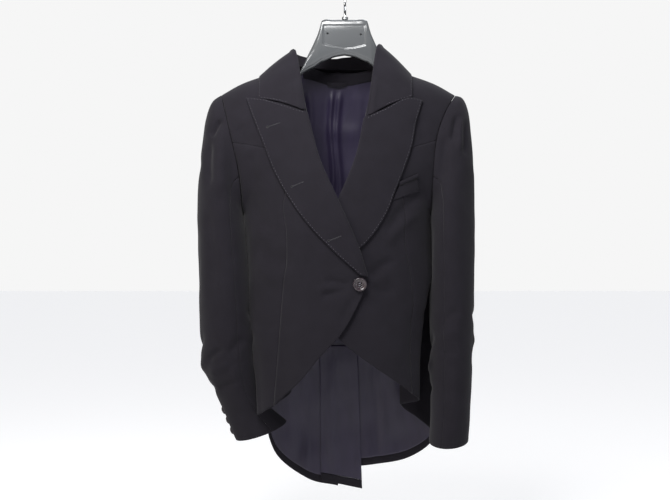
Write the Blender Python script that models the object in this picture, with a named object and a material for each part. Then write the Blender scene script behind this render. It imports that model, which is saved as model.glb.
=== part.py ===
# Cutaway tail jacket on a wide-necked plastic suit hanger.
# Origin: the inner top of the hook. +Z up, +X to the viewer's right, the front faces -Y.
# "right" and "left" in the names are the wearer's, so the right half is at -X.

import math

import bpy
import numpy as np

MM = 0.001

mid_x = -12.0               # the jacket hangs this far to one side of the hook
body_wall = 1.6             # cloth with its interlining
lapel_wall = 2.0
lining_wall = 1.0
seam_gap = 0.35
underarm_level = -391.0
shoulder_level = -190.0
armhole_half_depth = 46.0
shoulder_round = 6.0        # how late the shoulder turns over; higher is squarer
hem_band = 14.0             # own cloth showing below the lining
facing_height = 14.0        # own cloth showing inside the back neck, as a level
lining_depth = 2.1          # from the middle of the cloth to the middle of the lining
facing_depth = 2.8          # and to the middle of the facing, which laps over the lining's top
flat_side = 0.4             # how much less than a quarter turn the cloth makes beside the armhole
flat_side_rise = 0.3        # and by what share of the armhole's height it has come to that
folded_ease = 0.008         # extra depth of a folded side, for each millimetre of its fold
probe = 0.4                 # step that finds the direction of a surface
layer = body_wall / 2 + seam_gap + lapel_wall / 2

RIGHT = -1
LEFT = 1
FRONT = -1
BACK = 1

# Half widths to each side of the middle, and depths of the front and the back, by level.
BODY = {
    "level": [-900, -765, -700, -600, -517, -450, -410, -391, -327, -275, -231, -190],
    "right": [147, 147, 146, 148, 149, 153, 160, 165, 171, 183, 193, 203],
    "left": [152, 152, 150, 149, 147, 149, 155, 161, 163, 169, 184, 204],
    "front": [86, 88, 86, 84, 82, 86, 88, 88, 84, 78, 74, 70],
    "back": [66, 66, 62, 56, 54, 58, 61, 62, 64, 62, 60, 58],
}

# Height of the shoulder line over its distance from the middle.
SHOULDER = {
    "from_mid": [0, 70, 122, 178, 204, 240],
    "height": [-100, -132, -152, -173, -188, -204],
}

# How far each side folds in (+) or stands out (-) round the body, as a share of its depth.
# The turn counts from the front middle (0) round to the back middle (180).
RIGHT_FOLD = {
    "turn": [0, 58, 72, 90, 112, 134, 156, 180],
    "share": [0, 0, 0.14, 1.0, 0.2, -0.4, -0.15, 0],
}
right_fold_depth = 75.0
right_fold_levels = (-600.0, -735.0)
LEFT_FOLD = {
    "turn": [0, 84, 112, 140, 165, 180],
    "share": [0, 0, -1.0, -0.7, 0, 0],
}
left_fold_depth = 22.0
left_fold_levels = (-440.0, -540.0)

# The right front rises this much over the left one, between these x and below this level.
overlap_lift = 7.6
overlap_from = -118.0
overlap_to = -66.0
overlap_top = -290.0
overlap_fade = 60.0

# Rows and columns of the panels, and how the rows crowd towards the curved shoulder.
YOKE_GRID = {"rows": 10, "columns": 5, "crowd": 1.5}
FRONT_GRID = {"rows": 13, "columns": 8}
BACK_GRID = {"rows": 17, "neck": 4, "rest": 9, "crowd": 1.35}
LAPEL_GRID = {"rows": 14, "columns": 7}
yoke_seam_rise = 8.0        # the yoke's seam rises this much on its way to the armhole

# Seam lines and edges of the fronts, seen from the front: x, z.
ROLL_RIGHT = [(-82, -150), (-79, -171), (-68, -220), (-47, -300), (-12, -381), (20, -457), (34, -503)]
ROLL_LEFT = [(52, -140), (46, -171), (39, -206), (21, -296), (-12, -381), (-33, -449), (-50, -503)]
LAPEL_EDGE_RIGHT = [(-169, -198), (-162, -217), (-141, -271), (-119, -325), (-94, -368),
                    (-60, -415), (-26, -452), (24, -499)]
LAPEL_EDGE_LEFT = [(131, -203), (123, -229), (110, -288), (84, -356), (67, -398),
                   (33, -446), (-9, -478), (-44, -502)]
GORGE_RIGHT = [(-67, -224), (-104, -212), (-147, -200), (-169, -198)]
GORGE_LEFT = [(35, -234), (67, -218), (113, -199), (131, -203)]
CUTAWAY_RIGHT = [(34, -503), (30, -525), (16, -558), (-9, -601), (-43, -639), (-76, -682), (-119, -723)]
CUTAWAY_LEFT = [(-50, -503), (-51, -525), (-38, -567), (-9, -609), (42, -651), (89, -685), (114, -704)]
PRINCESS_RIGHT = [(-105, -294), (-99, -424), (-107, -542), (-119, -723)]
PRINCESS_LEFT = [(89, -293), (101, -424), (115, -542), (114, -704)]
yoke_seam_level = -290.0
SIDE_HEM_RIGHT = [(-119, -723), (-149, -738)]
SIDE_HEM_LEFT = [(114, -704), (134, -719)]
side_hem_level = {RIGHT: -696.0, LEFT: -728.0}

# Hem of each back half by the turn round the body.
TAIL_HEM = {
    "turn": [90, 110, 125, 140, 158, 180],
    "right": [-696, -738, -786, -832, -868, -882],
    "left": [-728, -766, -800, -828, -843, -850],
}
back_neck_height = -140.0

# The lining and the facing above it; the folded side keeps its lining out of the fold.
LINING = {"columns": {RIGHT: 10, LEFT: 12}, "first_row": 2, "middle_gap": 1.5, "top_gap": 1.0,
          "facing_rows": 4, "facing_columns": 4}

# The strip that covers the vent, seen from the front.
VENT = {"top": [(-46, -628), (24, -628)], "bottom": [(-44, -872), (31, -886)], "rows": 10, "columns": 7,
        "gap": 0.65}
neck_half_width = {RIGHT: 80.0, LEFT: 95.0}

# Sleeve rings: the outer and the inner point seen from the front, half depth, and centre y.
SLEEVE_RIGHT = {
    "outer_x": [-215, -231, -242, -248, -254, -257, -257, -254, -252, -248, -230, -210, -191],
    "outer_z": [-190, -202, -230, -265, -309, -370, -457, -545, -615, -659, -699, -741, -788],
    "inner_x": [-177, -178, -178, -178, -177, -175, -171, -165, -164, -160, -151, -130, -100],
    "inner_z": [-391, -394, -398, -404, -412, -430, -478, -550, -624, -671, -711, -736, -758],
    "depth": [46, 50, 53, 55, 57, 57, 56, 54, 51, 47, 38, 27, 23],
    "centre_y": [0, 0, 0, 0, 0, 0, 0, 0, 0, 1, 1, 1, 1],
}
SLEEVE_LEFT = {
    "outer_x": [192, 205, 214, 220, 224, 226, 226, 225, 224, 222, 220, 217, 214],
    "outer_z": [-190, -195, -216, -256, -309, -360, -440, -500, -560, -620, -680, -735, -786],
    "inner_x": [149, 150, 150, 150, 150, 150, 151, 153, 154, 154, 153, 151, 147],
    "inner_z": [-391, -394, -398, -404, -412, -424, -462, -510, -565, -623, -683, -738, -792],
    "depth": [46, 50, 54, 57, 59, 60, 60, 59, 57, 54, 51, 48, 45],
    "centre_y": [0, 0, 0, 0, 0, 0, -1, -2, -4, -6, -8, -9, -10],
}
front_seam_turn = 62.0      # where the two sleeve pieces meet, from the underarm
back_seam_turn = 290.0
sleeve_rings = 17
upper_sleeve_columns = 15
under_sleeve_columns = 9
sleeve_seam_gap = 0.5
armhole_gap = 0.55
armhole_reach = 4.0         # the sleeve leaves the armhole's shape over this many of the table's rings

lapel_foot = 2.0            # the lapel ends this far above the foot of its roll line
lapel_lift = 1.7            # and stands off the front by this beyond its roll line
lapel_lift_share = 0.3      # which it reaches at this share of its width

# Collar by station from the back middle to the gorge: the fold, the foot of the stand
# (with how much of the wider side's spread it takes), and the edge of the fall on the body.
COLLAR = {
    "fold_d": [0, 25, 47, 66, 79, 72, 67, 63, 58, 52],
    "fold_y": [52, 49, 40, 24, 1, -22, -37, -50, -61, -72],
    "fold_z": [-117, -116, -114, -111, -107, -108, -127, -152, -187, -227],
    "tilt": [0, 0.4, 0.8, 1, 1, 1, 0.8, 0.3, -0.4, -1.1],
    "base_d": [0, 24, 46, 65, 77, 74, 68, 62, 56, 49],
    "base_y": [47, 43, 34, 18, 0.5, -16, -31, -44, -54, -64],
    "base_z": [-135, -135, -134, -133, -131, -133, -148, -168, -197, -231],
    "spread": [0, 0.3, 0.6, 0.85, 1, 0.9, 0.6, 0.3, 0.1, 0],
    "edge_d": [0, 40, 76, 108, 127, 131, 131, 131, 131, 131],
    "edge_w": [0.765, 0.81, 0.87, 0.945, 1.0, 0.975, 0.94, 0.905, 0.865, 0.817],
}
COLLAR_GRID = {"stations": 29, "shoulder": 4, "top": 0.9999, "stand": [0, 0.3, 0.6, 0.8], "stand_ends": 2,
               "fall": [0, 0.12, 0.3, 0.5, 0.7, 0.85, 1]}
COLLAR_ROUND = {"out": 3.0, "up": 4.0}
collar_fall_gap = 0.7       # between the fall and one layer's gap over the body
collar_clearance = 0.8      # beyond one layer's gap over the body
collar_free_height = 0.5    # above the shoulder line less this, the collar needs no clearance
collar_mid = -15.0
collar_tilt = 4.5           # the right side hangs lower by twice this
collar_edge_shift = 5.0     # the right end stands further out by twice this

POCKET = {"top": [(92, -345), (121, -334)], "bottom": [(78, -374), (126, -357)], "rows": 4, "columns": 6}
# The profile gives the share of the radius and of the thickness, from the cloth's side to the dish.
BUTTON = {"place": (23.0, -515.0), "radius": 11.5, "thick": 4.0, "gap": 0.55, "sides": 24,
          "hole_radius": 1.2, "hole_spacing": 3.0, "hole_sides": 10,
          "profile": [(0.88, 0.0), (1.0, 0.35), (1.0, 0.7), (0.92, 1.0), (0.78, 0.95), (0.64, 0.5)]}
CUFF_BUTTON = {"count": 3, "radius": 7.5, "thick": 3.0, "gap": 0.45, "sides": 14,
               "turn": {RIGHT: 200.0, LEFT: 210.0}, "beside": 4.0, "first_row": 0.4, "row_step": 0.52}

# Hanger by its distance from the hook's stem: top, bottom and half thickness.
HANGER = {
    "from_stem": [0, 20, 36, 40, 44, 47, 51, 57, 64, 72, 80, 90, 105, 130, 152, 170, 182, 188],
    "top": [-55, -55, -55.5, -58, -72, -81, -90, -103, -117, -135, -149, -156, -161, -170, -178, -186,
            -193, -198],
    "bottom": [-117, -121, -128, -129, -132, -134, -137, -140, -144, -149, -157, -168, -182, -196, -205,
               -210, -210, -207],
    "half": [9, 9, 9, 9, 9, 9, 8.5, 8, 8, 8.5, 10, 13, 16, 19, 20, 18, 13, 6],
}
hanger_centre_x = -1.0
hanger_sides = 16
hanger_neck_reach = 50.0
hanger_neck_square = 0.45   # powers of the rings' shape: 1 is an ellipse and 0 a box
hanger_arm_round = 0.8
LOOP = {"z": (-152.0, -155.0, -158.0), "from_x": -32.0, "to_x": 4.0, "columns": 9, "gap": 1.5, "bow": 5.0}
hook_wire = 2.0
hook_radius = 20.0
hook_sides = 12

# The hook in its own plane, y and z: its stem, and its collar's heights with their radii.
HOOK = {"stem": [(0, -54.6), (0, -50), (2, -43), (9, -35), (16, -29)], "stem_inset": 0.3,
        "tip_out": 0.5, "tip_down": 11.0, "stations": 26,
        "collar": [(-54.6, 5.0), (-53.8, 5.4), (-50.6, 5.4), (-49.8, 4.6), (-49.7, hook_wire)]}


def to_linear(channel):
    if channel <= 0.04045:
        return channel / 12.92
    return ((channel + 0.055) / 1.055) ** 2.4


def material(name, colour, rough, metal=0.0):
    made = bpy.data.materials.new(name)
    made.use_nodes = True
    shader = made.node_tree.nodes["Principled BSDF"]
    linear = [to_linear(int(colour[i:i + 2], 16) / 255) for i in (0, 2, 4)]
    shader.inputs["Base Color"].default_value = (*linear, 1.0)
    shader.inputs["Roughness"].default_value = rough
    shader.inputs["Metallic"].default_value = metal
    return made


def ease(share):
    share = np.clip(share, 0.0, 1.0)
    return share * share * (3 - 2 * share)


def smooth(xs, ys, at):
    """Cubic curve through the table, with slopes taken from its neighbours."""
    xs = np.asarray(xs, float)
    ys = np.asarray(ys, float)
    if xs[0] > xs[-1]:
        xs = xs[::-1]
        ys = ys[::-1]
    slope = np.gradient(ys, xs)
    at = np.clip(np.asarray(at, float), xs[0], xs[-1])
    left = np.clip(np.searchsorted(xs, at, side="right") - 1, 0, len(xs) - 2)
    span = xs[left + 1] - xs[left]
    t = (at - xs[left]) / span
    start = ys[left] * (1 + 2 * t) * (1 - t) ** 2 + ys[left + 1] * t * t * (3 - 2 * t)
    return start + span * (slope[left] * t * (1 - t) ** 2 - slope[left + 1] * t * t * (1 - t))


def spread(points, count, power=1.0):
    """Points evenly along the curve through the given ones; power above 1 crowds them at its start."""
    points = np.asarray(points, float)
    steps = np.linalg.norm(np.diff(points, axis=0), axis=1)
    along = np.concatenate([[0], np.cumsum(steps)])
    at = along[-1] * np.linspace(0, 1, count) ** power
    return np.stack([smooth(along, points[:, k], at) for k in range(points.shape[1])], axis=1)


def shoulder_height(from_mid):
    return smooth(SHOULDER["from_mid"], SHOULDER["height"], from_mid)


def rise(level):
    """0 at the underarm and 1 at the shoulder."""
    return np.clip((level - underarm_level) / (shoulder_level - underarm_level), 0, 1)


def fold_in(side, turn, level):
    if side == RIGHT:
        table, depth, levels = RIGHT_FOLD, right_fold_depth, right_fold_levels
    else:
        table, depth, levels = LEFT_FOLD, left_fold_depth, left_fold_levels
    share = smooth(table["turn"], table["share"], turn)
    return depth * share * ease((levels[0] - level) / (levels[0] - levels[1]))


def half_width(side, level):
    return smooth(BODY["level"], BODY["right" if side == RIGHT else "left"], level)


def side_share(level):
    """How much of a quarter turn the cloth makes by the side: all of it below the arm."""
    return 1 - flat_side * ease(rise(level) / flat_side_rise)


def phi_at(side, from_mid, level):
    share = side_share(level)
    reach = np.clip(from_mid / half_width(side, level), -1, 1) * np.sin(np.radians(90 * share))
    return np.degrees(np.arcsin(reach)) / share


def body_point(side, half, phi, level):
    """A point of the body's cloth; phi is 0 at the middle, 90 at the side and below 0 across the middle."""
    up = rise(level)
    width = half_width(side, level)
    share = side_share(level)
    from_mid = width * np.sin(np.radians(phi * share)) / np.sin(np.radians(90 * share))
    fold = fold_in(side, np.abs(phi) if half == FRONT else 180 - np.abs(phi), level)
    x = mid_x + side * (from_mid - fold)
    top = shoulder_height(np.abs(from_mid))
    z = np.where(up > 0, underarm_level + (top - underarm_level) * up, level)
    edge = 2 * armhole_half_depth * np.sqrt(up * (1 - up))
    depth = smooth(BODY["level"], BODY["front" if half == FRONT else "back"], level)
    depth = depth * np.sqrt(1 - up ** shoulder_round)
    low = np.cos(np.radians(90 * share))
    forward = (np.cos(np.radians(phi * share)) - low) / (1 - low)
    y = half * (edge + (depth - edge) * forward + seam_gap / 2 + folded_ease * np.abs(fold))
    return np.stack([x, y, z], axis=-1)


def body_skin(side, half, place, out):
    """Points at the given places, moved out along the body's own normal."""
    place = np.asarray(place, float)
    phi = np.clip(place[..., 0], -90, 90)
    level = place[..., 1]
    back = np.clip(phi - probe, -90, 90)
    ahead = np.clip(phi + probe, -90, 90)
    across = body_point(side, half, ahead, level) - body_point(side, half, back, level)
    low = np.clip(level - probe, BODY["level"][0], shoulder_level)
    high = np.clip(level + probe, BODY["level"][0], shoulder_level)
    upward = body_point(side, half, phi, high) - body_point(side, half, phi, low)
    normal = np.cross(across, upward) * -side * half
    normal /= np.maximum(np.linalg.norm(normal, axis=-1, keepdims=True), 1e-9)
    return body_point(side, half, phi, level) + normal * np.asarray(out)[..., None]


def place_of(side, x, z):
    """Turns x and z of the front view into phi and level."""
    from_mid = side * (np.asarray(x, float) - mid_x)
    z = np.asarray(z, float)
    up = (z - underarm_level) / (shoulder_height(np.abs(from_mid)) - underarm_level)
    level = np.where(up > 0, underarm_level + np.minimum(up, 1) * (shoulder_level - underarm_level), z)
    return np.stack([phi_at(side, from_mid, level), level], axis=-1)


def between(curve, start, end):
    """The part of a front-view curve between two heights, ends included."""
    curve = np.asarray(curve, float)
    z = curve[:, 1]
    keep = [tuple(p) for p in curve if start > p[1] > end]
    first = (float(smooth(z, curve[:, 0], start)), start)
    last = (float(smooth(z, curve[:, 0], end)), end)
    return [first] + keep + [last]


def coons(top, bottom, left, right):
    """Fills four edges; top and bottom run left to right, left and right run downwards."""
    rows, columns = len(left), len(top)
    v = np.linspace(0, 1, rows)[:, None, None]
    u = np.linspace(0, 1, columns)[None, :, None]
    across = (1 - u) * left[:, None] + u * right[:, None]
    down = (1 - v) * top[None] + v * bottom[None]
    corners = ((1 - u) * (1 - v) * top[0] + u * (1 - v) * top[-1]
               + (1 - u) * v * bottom[0] + u * v * bottom[-1])
    return across + down - corners


def trimmed(grid, gap=seam_gap):
    """Draws each edge of a sheet in by half the seam gap."""
    grid = grid.copy()
    for axis in (0, 1):
        moved = np.moveaxis(grid, axis, 0)
        for edge, inner in ((0, 1), (-1, -2)):
            pull = moved[inner] - moved[edge]
            length = np.maximum(np.linalg.norm(pull, axis=-1, keepdims=True), 1e-9)
            moved[edge] += pull / length * gap / 2
    return grid


def new_object(name, vertices, faces, made_of):
    mesh = bpy.data.meshes.new(name)
    mesh.from_pydata([tuple(v * MM for v in point) for point in vertices], [], faces)
    mesh.materials.append(made_of)
    for polygon in mesh.polygons:
        polygon.use_smooth = True
    made = bpy.data.objects.new(name, mesh)
    bpy.context.scene.collection.objects.link(made)
    return made


def sheet(name, grid, thick, made_of, outward):
    """Gives a grid of points a wall; outward is any direction that its outer face looks to."""
    grid = np.asarray(grid, float)
    along = np.gradient(grid, axis=0)
    across = np.gradient(grid, axis=1)
    normal = np.cross(along, across)
    normal /= np.maximum(np.linalg.norm(normal, axis=-1, keepdims=True), 1e-9)
    if np.sum(normal.mean(axis=(0, 1)) * outward) < 0:
        grid = grid[:, ::-1]
        normal = -normal[:, ::-1]
    rows, columns = grid.shape[:2]
    outer = (grid + normal * thick / 2).reshape(-1, 3)
    inner = (grid - normal * thick / 2).reshape(-1, 3)
    offset = rows * columns
    index = np.arange(offset).reshape(rows, columns)
    faces = []
    for i in range(rows - 1):
        for j in range(columns - 1):
            corners = (index[i, j], index[i + 1, j], index[i + 1, j + 1], index[i, j + 1])
            a, b, c, d = (int(corner) for corner in corners)
            faces.append((a, b, c, d))
            faces.append((a + offset, d + offset, c + offset, b + offset))
    rim = list(index[0, :-1]) + list(index[:-1, -1]) + list(index[-1, :0:-1]) + list(index[:0:-1, 0])
    for k, first in enumerate(rim):
        second = rim[(k + 1) % len(rim)]
        a, b = int(first), int(second)
        faces.append((a, b, b + offset, a + offset))
    return new_object(name, np.concatenate([outer, inner]), faces, made_of)


def closed_loft(name, rings, made_of):
    """Joins rings of points and closes both ends with flat caps."""
    rings = np.asarray(rings, float)
    count, around = rings.shape[:2]
    faces = []
    for i in range(count - 1):
        for j in range(around):
            k = (j + 1) % around
            faces.append((i * around + j, (i + 1) * around + j, (i + 1) * around + k, i * around + k))
    faces.append(tuple(range(around)))
    faces.append(tuple(reversed(range((count - 1) * around, count * around))))
    made = new_object(name, rings.reshape(-1, 3), faces, made_of)
    volume = 0.0
    points = rings.reshape(-1, 3) - rings.reshape(-1, 3).mean(axis=0)
    for face in faces:
        for k in range(1, len(face) - 1):
            volume += np.dot(points[face[0]], np.cross(points[face[k]], points[face[k + 1]]))
    if volume < 0:
        made.data.flip_normals()
    return made


def front_lift(side, grid_place):
    """The right front rises over the left front and its lapel where the two cross."""
    if side == LEFT:
        return np.zeros(grid_place.shape[:-1])
    level = grid_place[..., 1]
    x = body_point(side, FRONT, grid_place[..., 0], level)[..., 0]
    across = ease((x - overlap_from) / (overlap_to - overlap_from))
    return overlap_lift * across * ease((overlap_top - level) / overlap_fade)


def front_places(side, points):
    points = np.asarray(points, float)
    return place_of(side, points[:, 0], points[:, 1])


def front_panels(side, word, wool):
    roll = ROLL_RIGHT if side == RIGHT else ROLL_LEFT
    princess = PRINCESS_RIGHT if side == RIGHT else PRINCESS_LEFT
    cutaway = CUTAWAY_RIGHT if side == RIGHT else CUTAWAY_LEFT
    side_hem = SIDE_HEM_RIGHT if side == RIGHT else SIDE_HEM_LEFT
    roll_at_seam = between(roll, yoke_seam_level + 1, yoke_seam_level)[-1]
    seam = front_places(side, [roll_at_seam, (princess[0][0], yoke_seam_level)])
    seam_end = np.array([90.0, yoke_seam_level + yoke_seam_rise])
    # yoke: shoulder seam on top, yoke seam below
    rows, columns, crowd = YOKE_GRID["rows"], YOKE_GRID["columns"], YOKE_GRID["crowd"]
    neck_phi = phi_at(side, neck_half_width[side], shoulder_level)
    split_phi = (neck_phi + 90) / 2
    top = np.concatenate([spread([(neck_phi, shoulder_level), (split_phi, shoulder_level)], columns),
                          spread([(split_phi, shoulder_level), (90.0, shoulder_level)], columns)[1:]])
    bottom = np.concatenate([spread(seam, columns), spread([seam[1], seam_end], columns)[1:]])
    inner = front_places(side, between(roll, roll[0][1], yoke_seam_level))
    inner = spread(np.concatenate([top[:1], inner[1:-1], bottom[:1]]), rows, crowd)
    outer = spread([top[-1], bottom[-1]], rows, crowd)
    place = coons(top, bottom, inner, outer)
    grid = body_skin(side, FRONT, place, front_lift(side, place))
    sheet("front_yoke_" + word, trimmed(grid), body_wall, wool, (0, -1, 0))
    # middle front: yoke seam, roll line, cutaway edge and the long dart seam
    rows, columns = FRONT_GRID["rows"], FRONT_GRID["columns"]
    dart = front_places(side, princess[1:-1])
    top = spread(seam, columns)
    edge = front_places(side, between(roll, yoke_seam_level, roll[-1][1]))
    edge[0] = seam[0]
    bottom = spread(front_places(side, cutaway), columns)
    inner = spread(edge, rows)
    inner[-1] = bottom[0]
    outer = spread(np.concatenate([top[-1:], dart, bottom[-1:]]), rows)
    place = coons(top, bottom, inner, outer)
    grid = body_skin(side, FRONT, place, front_lift(side, place))
    sheet("front_" + word, trimmed(grid), body_wall, wool, (0, -1, 0))
    # side front: out to the armhole and the side seam
    hem = np.concatenate([front_places(side, side_hem), [(90.0, side_hem_level[side])]])
    top = spread([seam[1], seam_end], columns)
    bottom = spread(hem, columns)
    outer = spread([seam_end, (90.0, underarm_level), (90.0, side_hem_level[side])], rows)
    inner = spread(np.concatenate([top[:1], dart, bottom[:1]]), rows)
    place = coons(top, bottom, inner, outer)
    grid = body_skin(side, FRONT, place, front_lift(side, place))
    sheet("side_front_" + word, trimmed(grid), body_wall, wool, (0, -1, 0))


def back_places(side):
    """Places of one back half, in rows from its top edge down and in columns from the middle out."""
    neck_phi = float(phi_at(side, neck_half_width[side], shoulder_level))
    centre_rise = (back_neck_height - underarm_level) / (shoulder_height(0.0) - underarm_level)
    centre_level = underarm_level + centre_rise * (shoulder_level - underarm_level)
    under_collar = np.linspace(0, neck_phi, BACK_GRID["neck"] + 1)[:-1]
    phi = np.concatenate([under_collar, np.linspace(neck_phi, 90, BACK_GRID["rest"])])
    top_level = centre_level + (shoulder_level - centre_level) * ease(phi / neck_phi)
    hem_level = smooth(TAIL_HEM["turn"], TAIL_HEM["right" if side == RIGHT else "left"], 180 - phi)
    v = np.linspace(0, 1, BACK_GRID["rows"])[:, None] ** BACK_GRID["crowd"]
    level = top_level[None] + (hem_level - top_level)[None] * v
    return np.stack([np.broadcast_to(phi, level.shape), level], axis=-1)


def back_panels(side, word, wool):
    place = back_places(side)
    grid = body_skin(side, BACK, place, np.zeros(place.shape[:2]))
    sheet("back_" + word, trimmed(grid), body_wall, wool, (0, 1, 0))


def row_at(grid, levels, wanted):
    """The points of each column where its level reaches the wanted one, on the facets of the grid."""
    row = []
    for j in range(grid.shape[1]):
        at = np.interp(-wanted[j], -levels[:, j], np.arange(len(levels)))
        low = min(int(at), len(levels) - 2)
        row.append(grid[low, j] + (grid[low + 1, j] - grid[low, j]) * (at - low))
    return np.array(row)


def inside_panels(wool, satin):
    """The back lining and the facing above it, each in one piece across the middle."""
    lining = []
    facing = []
    for side in (RIGHT, LEFT):
        place = back_places(side)
        levels = place[..., 1]
        grid = body_skin(side, BACK, place, np.full(place.shape[:2], -lining_depth))
        grid[:, 0, 0] += side * LINING["middle_gap"]
        top = row_at(grid, levels, levels[0] - facing_height - LINING["top_gap"])
        low = row_at(grid, levels, levels[-1] + hem_band)
        half = np.concatenate([top[None], grid[LINING["first_row"]:-1], low[None]])
        half = half[:, :LINING["columns"][side]]
        lining.append(half[:, ::-1] if side == RIGHT else half)
        grid = body_skin(side, BACK, place, np.full(place.shape[:2], -facing_depth))
        first = row_at(grid, levels, levels[0] - LINING["top_gap"])
        last = row_at(grid, levels, levels[0] - facing_height)
        half = np.stack([first + (last - first) * t for t in np.linspace(0, 1, LINING["facing_rows"])])
        half = half[:, :LINING["facing_columns"]]
        facing.append(half[:, :0:-1] if side == RIGHT else half)
    sheet("back_lining", trimmed(np.concatenate(lining, axis=1)), lining_wall, satin, (0, 1, 0))
    sheet("neck_facing", trimmed(np.concatenate(facing, axis=1)), lining_wall, wool, (0, 1, 0))


def vent_strip(satin):
    """The long inner edge of the right tail, which crosses the middle and covers the vent."""
    depth = lining_depth + lining_wall + VENT["gap"]
    left = spread([VENT["top"][0], VENT["bottom"][0]], VENT["rows"])
    right = spread([VENT["top"][1], VENT["bottom"][1]], VENT["rows"])
    flat = coons(spread(VENT["top"], VENT["columns"]), spread(VENT["bottom"], VENT["columns"]), left, right)
    grid = np.empty(flat.shape[:2] + (3,))
    for index in np.ndindex(flat.shape[:2]):
        x, z = flat[index]
        side = RIGHT if x < mid_x else LEFT
        grid[index] = body_skin(side, BACK, place_of(side, x, z), -depth)
    sheet("vent_strip", trimmed(grid), lining_wall, satin, (0, 1, 0))


def sleeve_rings_of(side, table):
    """A function that gives the sleeve's rings at the given turns, counted from the underarm to the front."""
    station = np.arange(len(table["depth"]))
    at = np.linspace(0, station[-1], sleeve_rings)
    read = {key: smooth(station, table[key], at) for key in table}

    def armhole(turn, level):
        half = FRONT if turn <= 180 else BACK
        point = body_point(side, half, np.float64(90.0), np.float64(level))
        point[0] += side * (body_wall / 2 + armhole_gap)
        return point

    def ring(k, turns):
        outer = np.array([read["outer_x"][k], read["centre_y"][k], read["outer_z"][k]])
        inner = np.array([read["inner_x"][k], read["centre_y"][k], read["inner_z"][k]])
        cos = np.cos(np.radians(turns))[:, None]
        sin = np.sin(np.radians(turns))[:, None]
        forward = np.array([0, -1, 0]) * read["depth"][k]
        return (outer + inner) / 2 - cos * (outer - inner) / 2 + sin * forward

    def rings(turns):
        climb = (1 - np.cos(np.radians(turns))) / 2
        levels = underarm_level + climb * (shoulder_level - underarm_level)
        first = np.array([armhole(turn, level) for turn, level in zip(turns, levels)])
        off = first - ring(0, turns)
        fade = np.clip(1 - at / armhole_reach, 0, 1) ** 2
        return np.array([ring(k, turns) + off * fade[k] for k in range(sleeve_rings)])

    return rings


def sleeve(side, word, wool):
    rings = sleeve_rings_of(side, SLEEVE_RIGHT if side == RIGHT else SLEEVE_LEFT)
    upper = rings(np.linspace(front_seam_turn, back_seam_turn, upper_sleeve_columns))
    under = rings(np.linspace(back_seam_turn - 360, front_seam_turn, under_sleeve_columns) % 360)
    sheet("upper_sleeve_" + word, trimmed(upper, sleeve_seam_gap), body_wall, wool, (side, 0, 0))
    sheet("under_sleeve_" + word, trimmed(under, sleeve_seam_gap), body_wall, wool, (-side, 0, 0))
    return rings


def lapel(side, word, wool):
    roll = ROLL_RIGHT if side == RIGHT else ROLL_LEFT
    gorge = GORGE_RIGHT if side == RIGHT else GORGE_LEFT
    edge = LAPEL_EDGE_RIGHT if side == RIGHT else LAPEL_EDGE_LEFT
    rows, columns = LAPEL_GRID["rows"], LAPEL_GRID["columns"]
    inner = spread(between(roll, gorge[0][1], roll[-1][1] + lapel_foot), rows)
    outer = spread(edge, rows)
    top = spread([tuple(inner[0])] + gorge[1:-1] + [tuple(outer[0])], columns)
    bottom = spread([inner[-1], outer[-1]], columns)
    flat = coons(top, bottom, inner, outer)
    place = place_of(side, flat[..., 0], flat[..., 1])
    across = np.linspace(0, 1, columns)[None, :]
    out = layer + lapel_lift * ease(across / lapel_lift_share)
    grid = body_skin(side, FRONT, place, front_lift(side, place) + out)
    sheet("lapel_" + word, trimmed(grid), lapel_wall, wool, (0, -1, 0))


def collar(wool):
    """The stand, which rises from the neck seam, and the fall, which turns down from the fold."""
    last = len(COLLAR["fold_d"]) - 1
    at = np.linspace(-last, last, COLLAR_GRID["stations"])
    read = {key: smooth(np.arange(last + 1), COLLAR[key], np.abs(at)) for key in COLLAR}
    fall = []
    stand = []
    for k, station in enumerate(at):
        side = RIGHT if station < 0 else LEFT
        half = BACK if abs(station) <= COLLAR_GRID["shoulder"] else FRONT
        tilt = collar_tilt * side * read["tilt"][k]
        up = min(read["edge_w"][k], COLLAR_GRID["top"])
        level = underarm_level + up * (shoulder_level - underarm_level)
        reach = read["edge_d"][k] - side * collar_edge_shift * ease(abs(station) / COLLAR_GRID["shoulder"])
        phi = phi_at(side, reach, level)
        edge = body_skin(side, half, (phi, level), layer + collar_clearance)
        fold = np.array([collar_mid + side * read["fold_d"][k], read["fold_y"][k], read["fold_z"][k] + tilt])
        wider = (neck_half_width[side] - neck_half_width[RIGHT]) * read["spread"][k]
        base = np.array([collar_mid + side * (read["base_d"][k] + wider), read["base_y"][k],
                         read["base_z"][k] - wider / 3])
        stand.append([base + (fold - base) * t for t in COLLAR_GRID["stand"]])
        fall.append([over_body(side, half, fold + (edge - fold) * t + bulge(t, half))
                     for t in COLLAR_GRID["fall"]])
    ends = COLLAR_GRID["stand_ends"]
    sheet("collar_fall", trimmed(np.array(fall)), lapel_wall, wool, (0, 0, 1))
    sheet("collar_stand", trimmed(np.array(stand)[ends:-ends]), lapel_wall, wool, (0, 1, 0.2))


def over_body(side, half, point):
    """Keeps a point of the collar outside the body's cloth."""
    if point[2] > shoulder_height(abs(point[0] - mid_x)) - collar_free_height:
        return point
    skin = body_skin(side, half, place_of(side, point[0], point[2]), layer + collar_fall_gap)
    if half * (point[1] - skin[1]) < 0:
        point = np.array([point[0], skin[1], point[2]])
    return point


def bulge(share, half):
    return np.array([0, half * COLLAR_ROUND["out"], COLLAR_ROUND["up"]]) * math.sin(math.pi * share)


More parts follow.
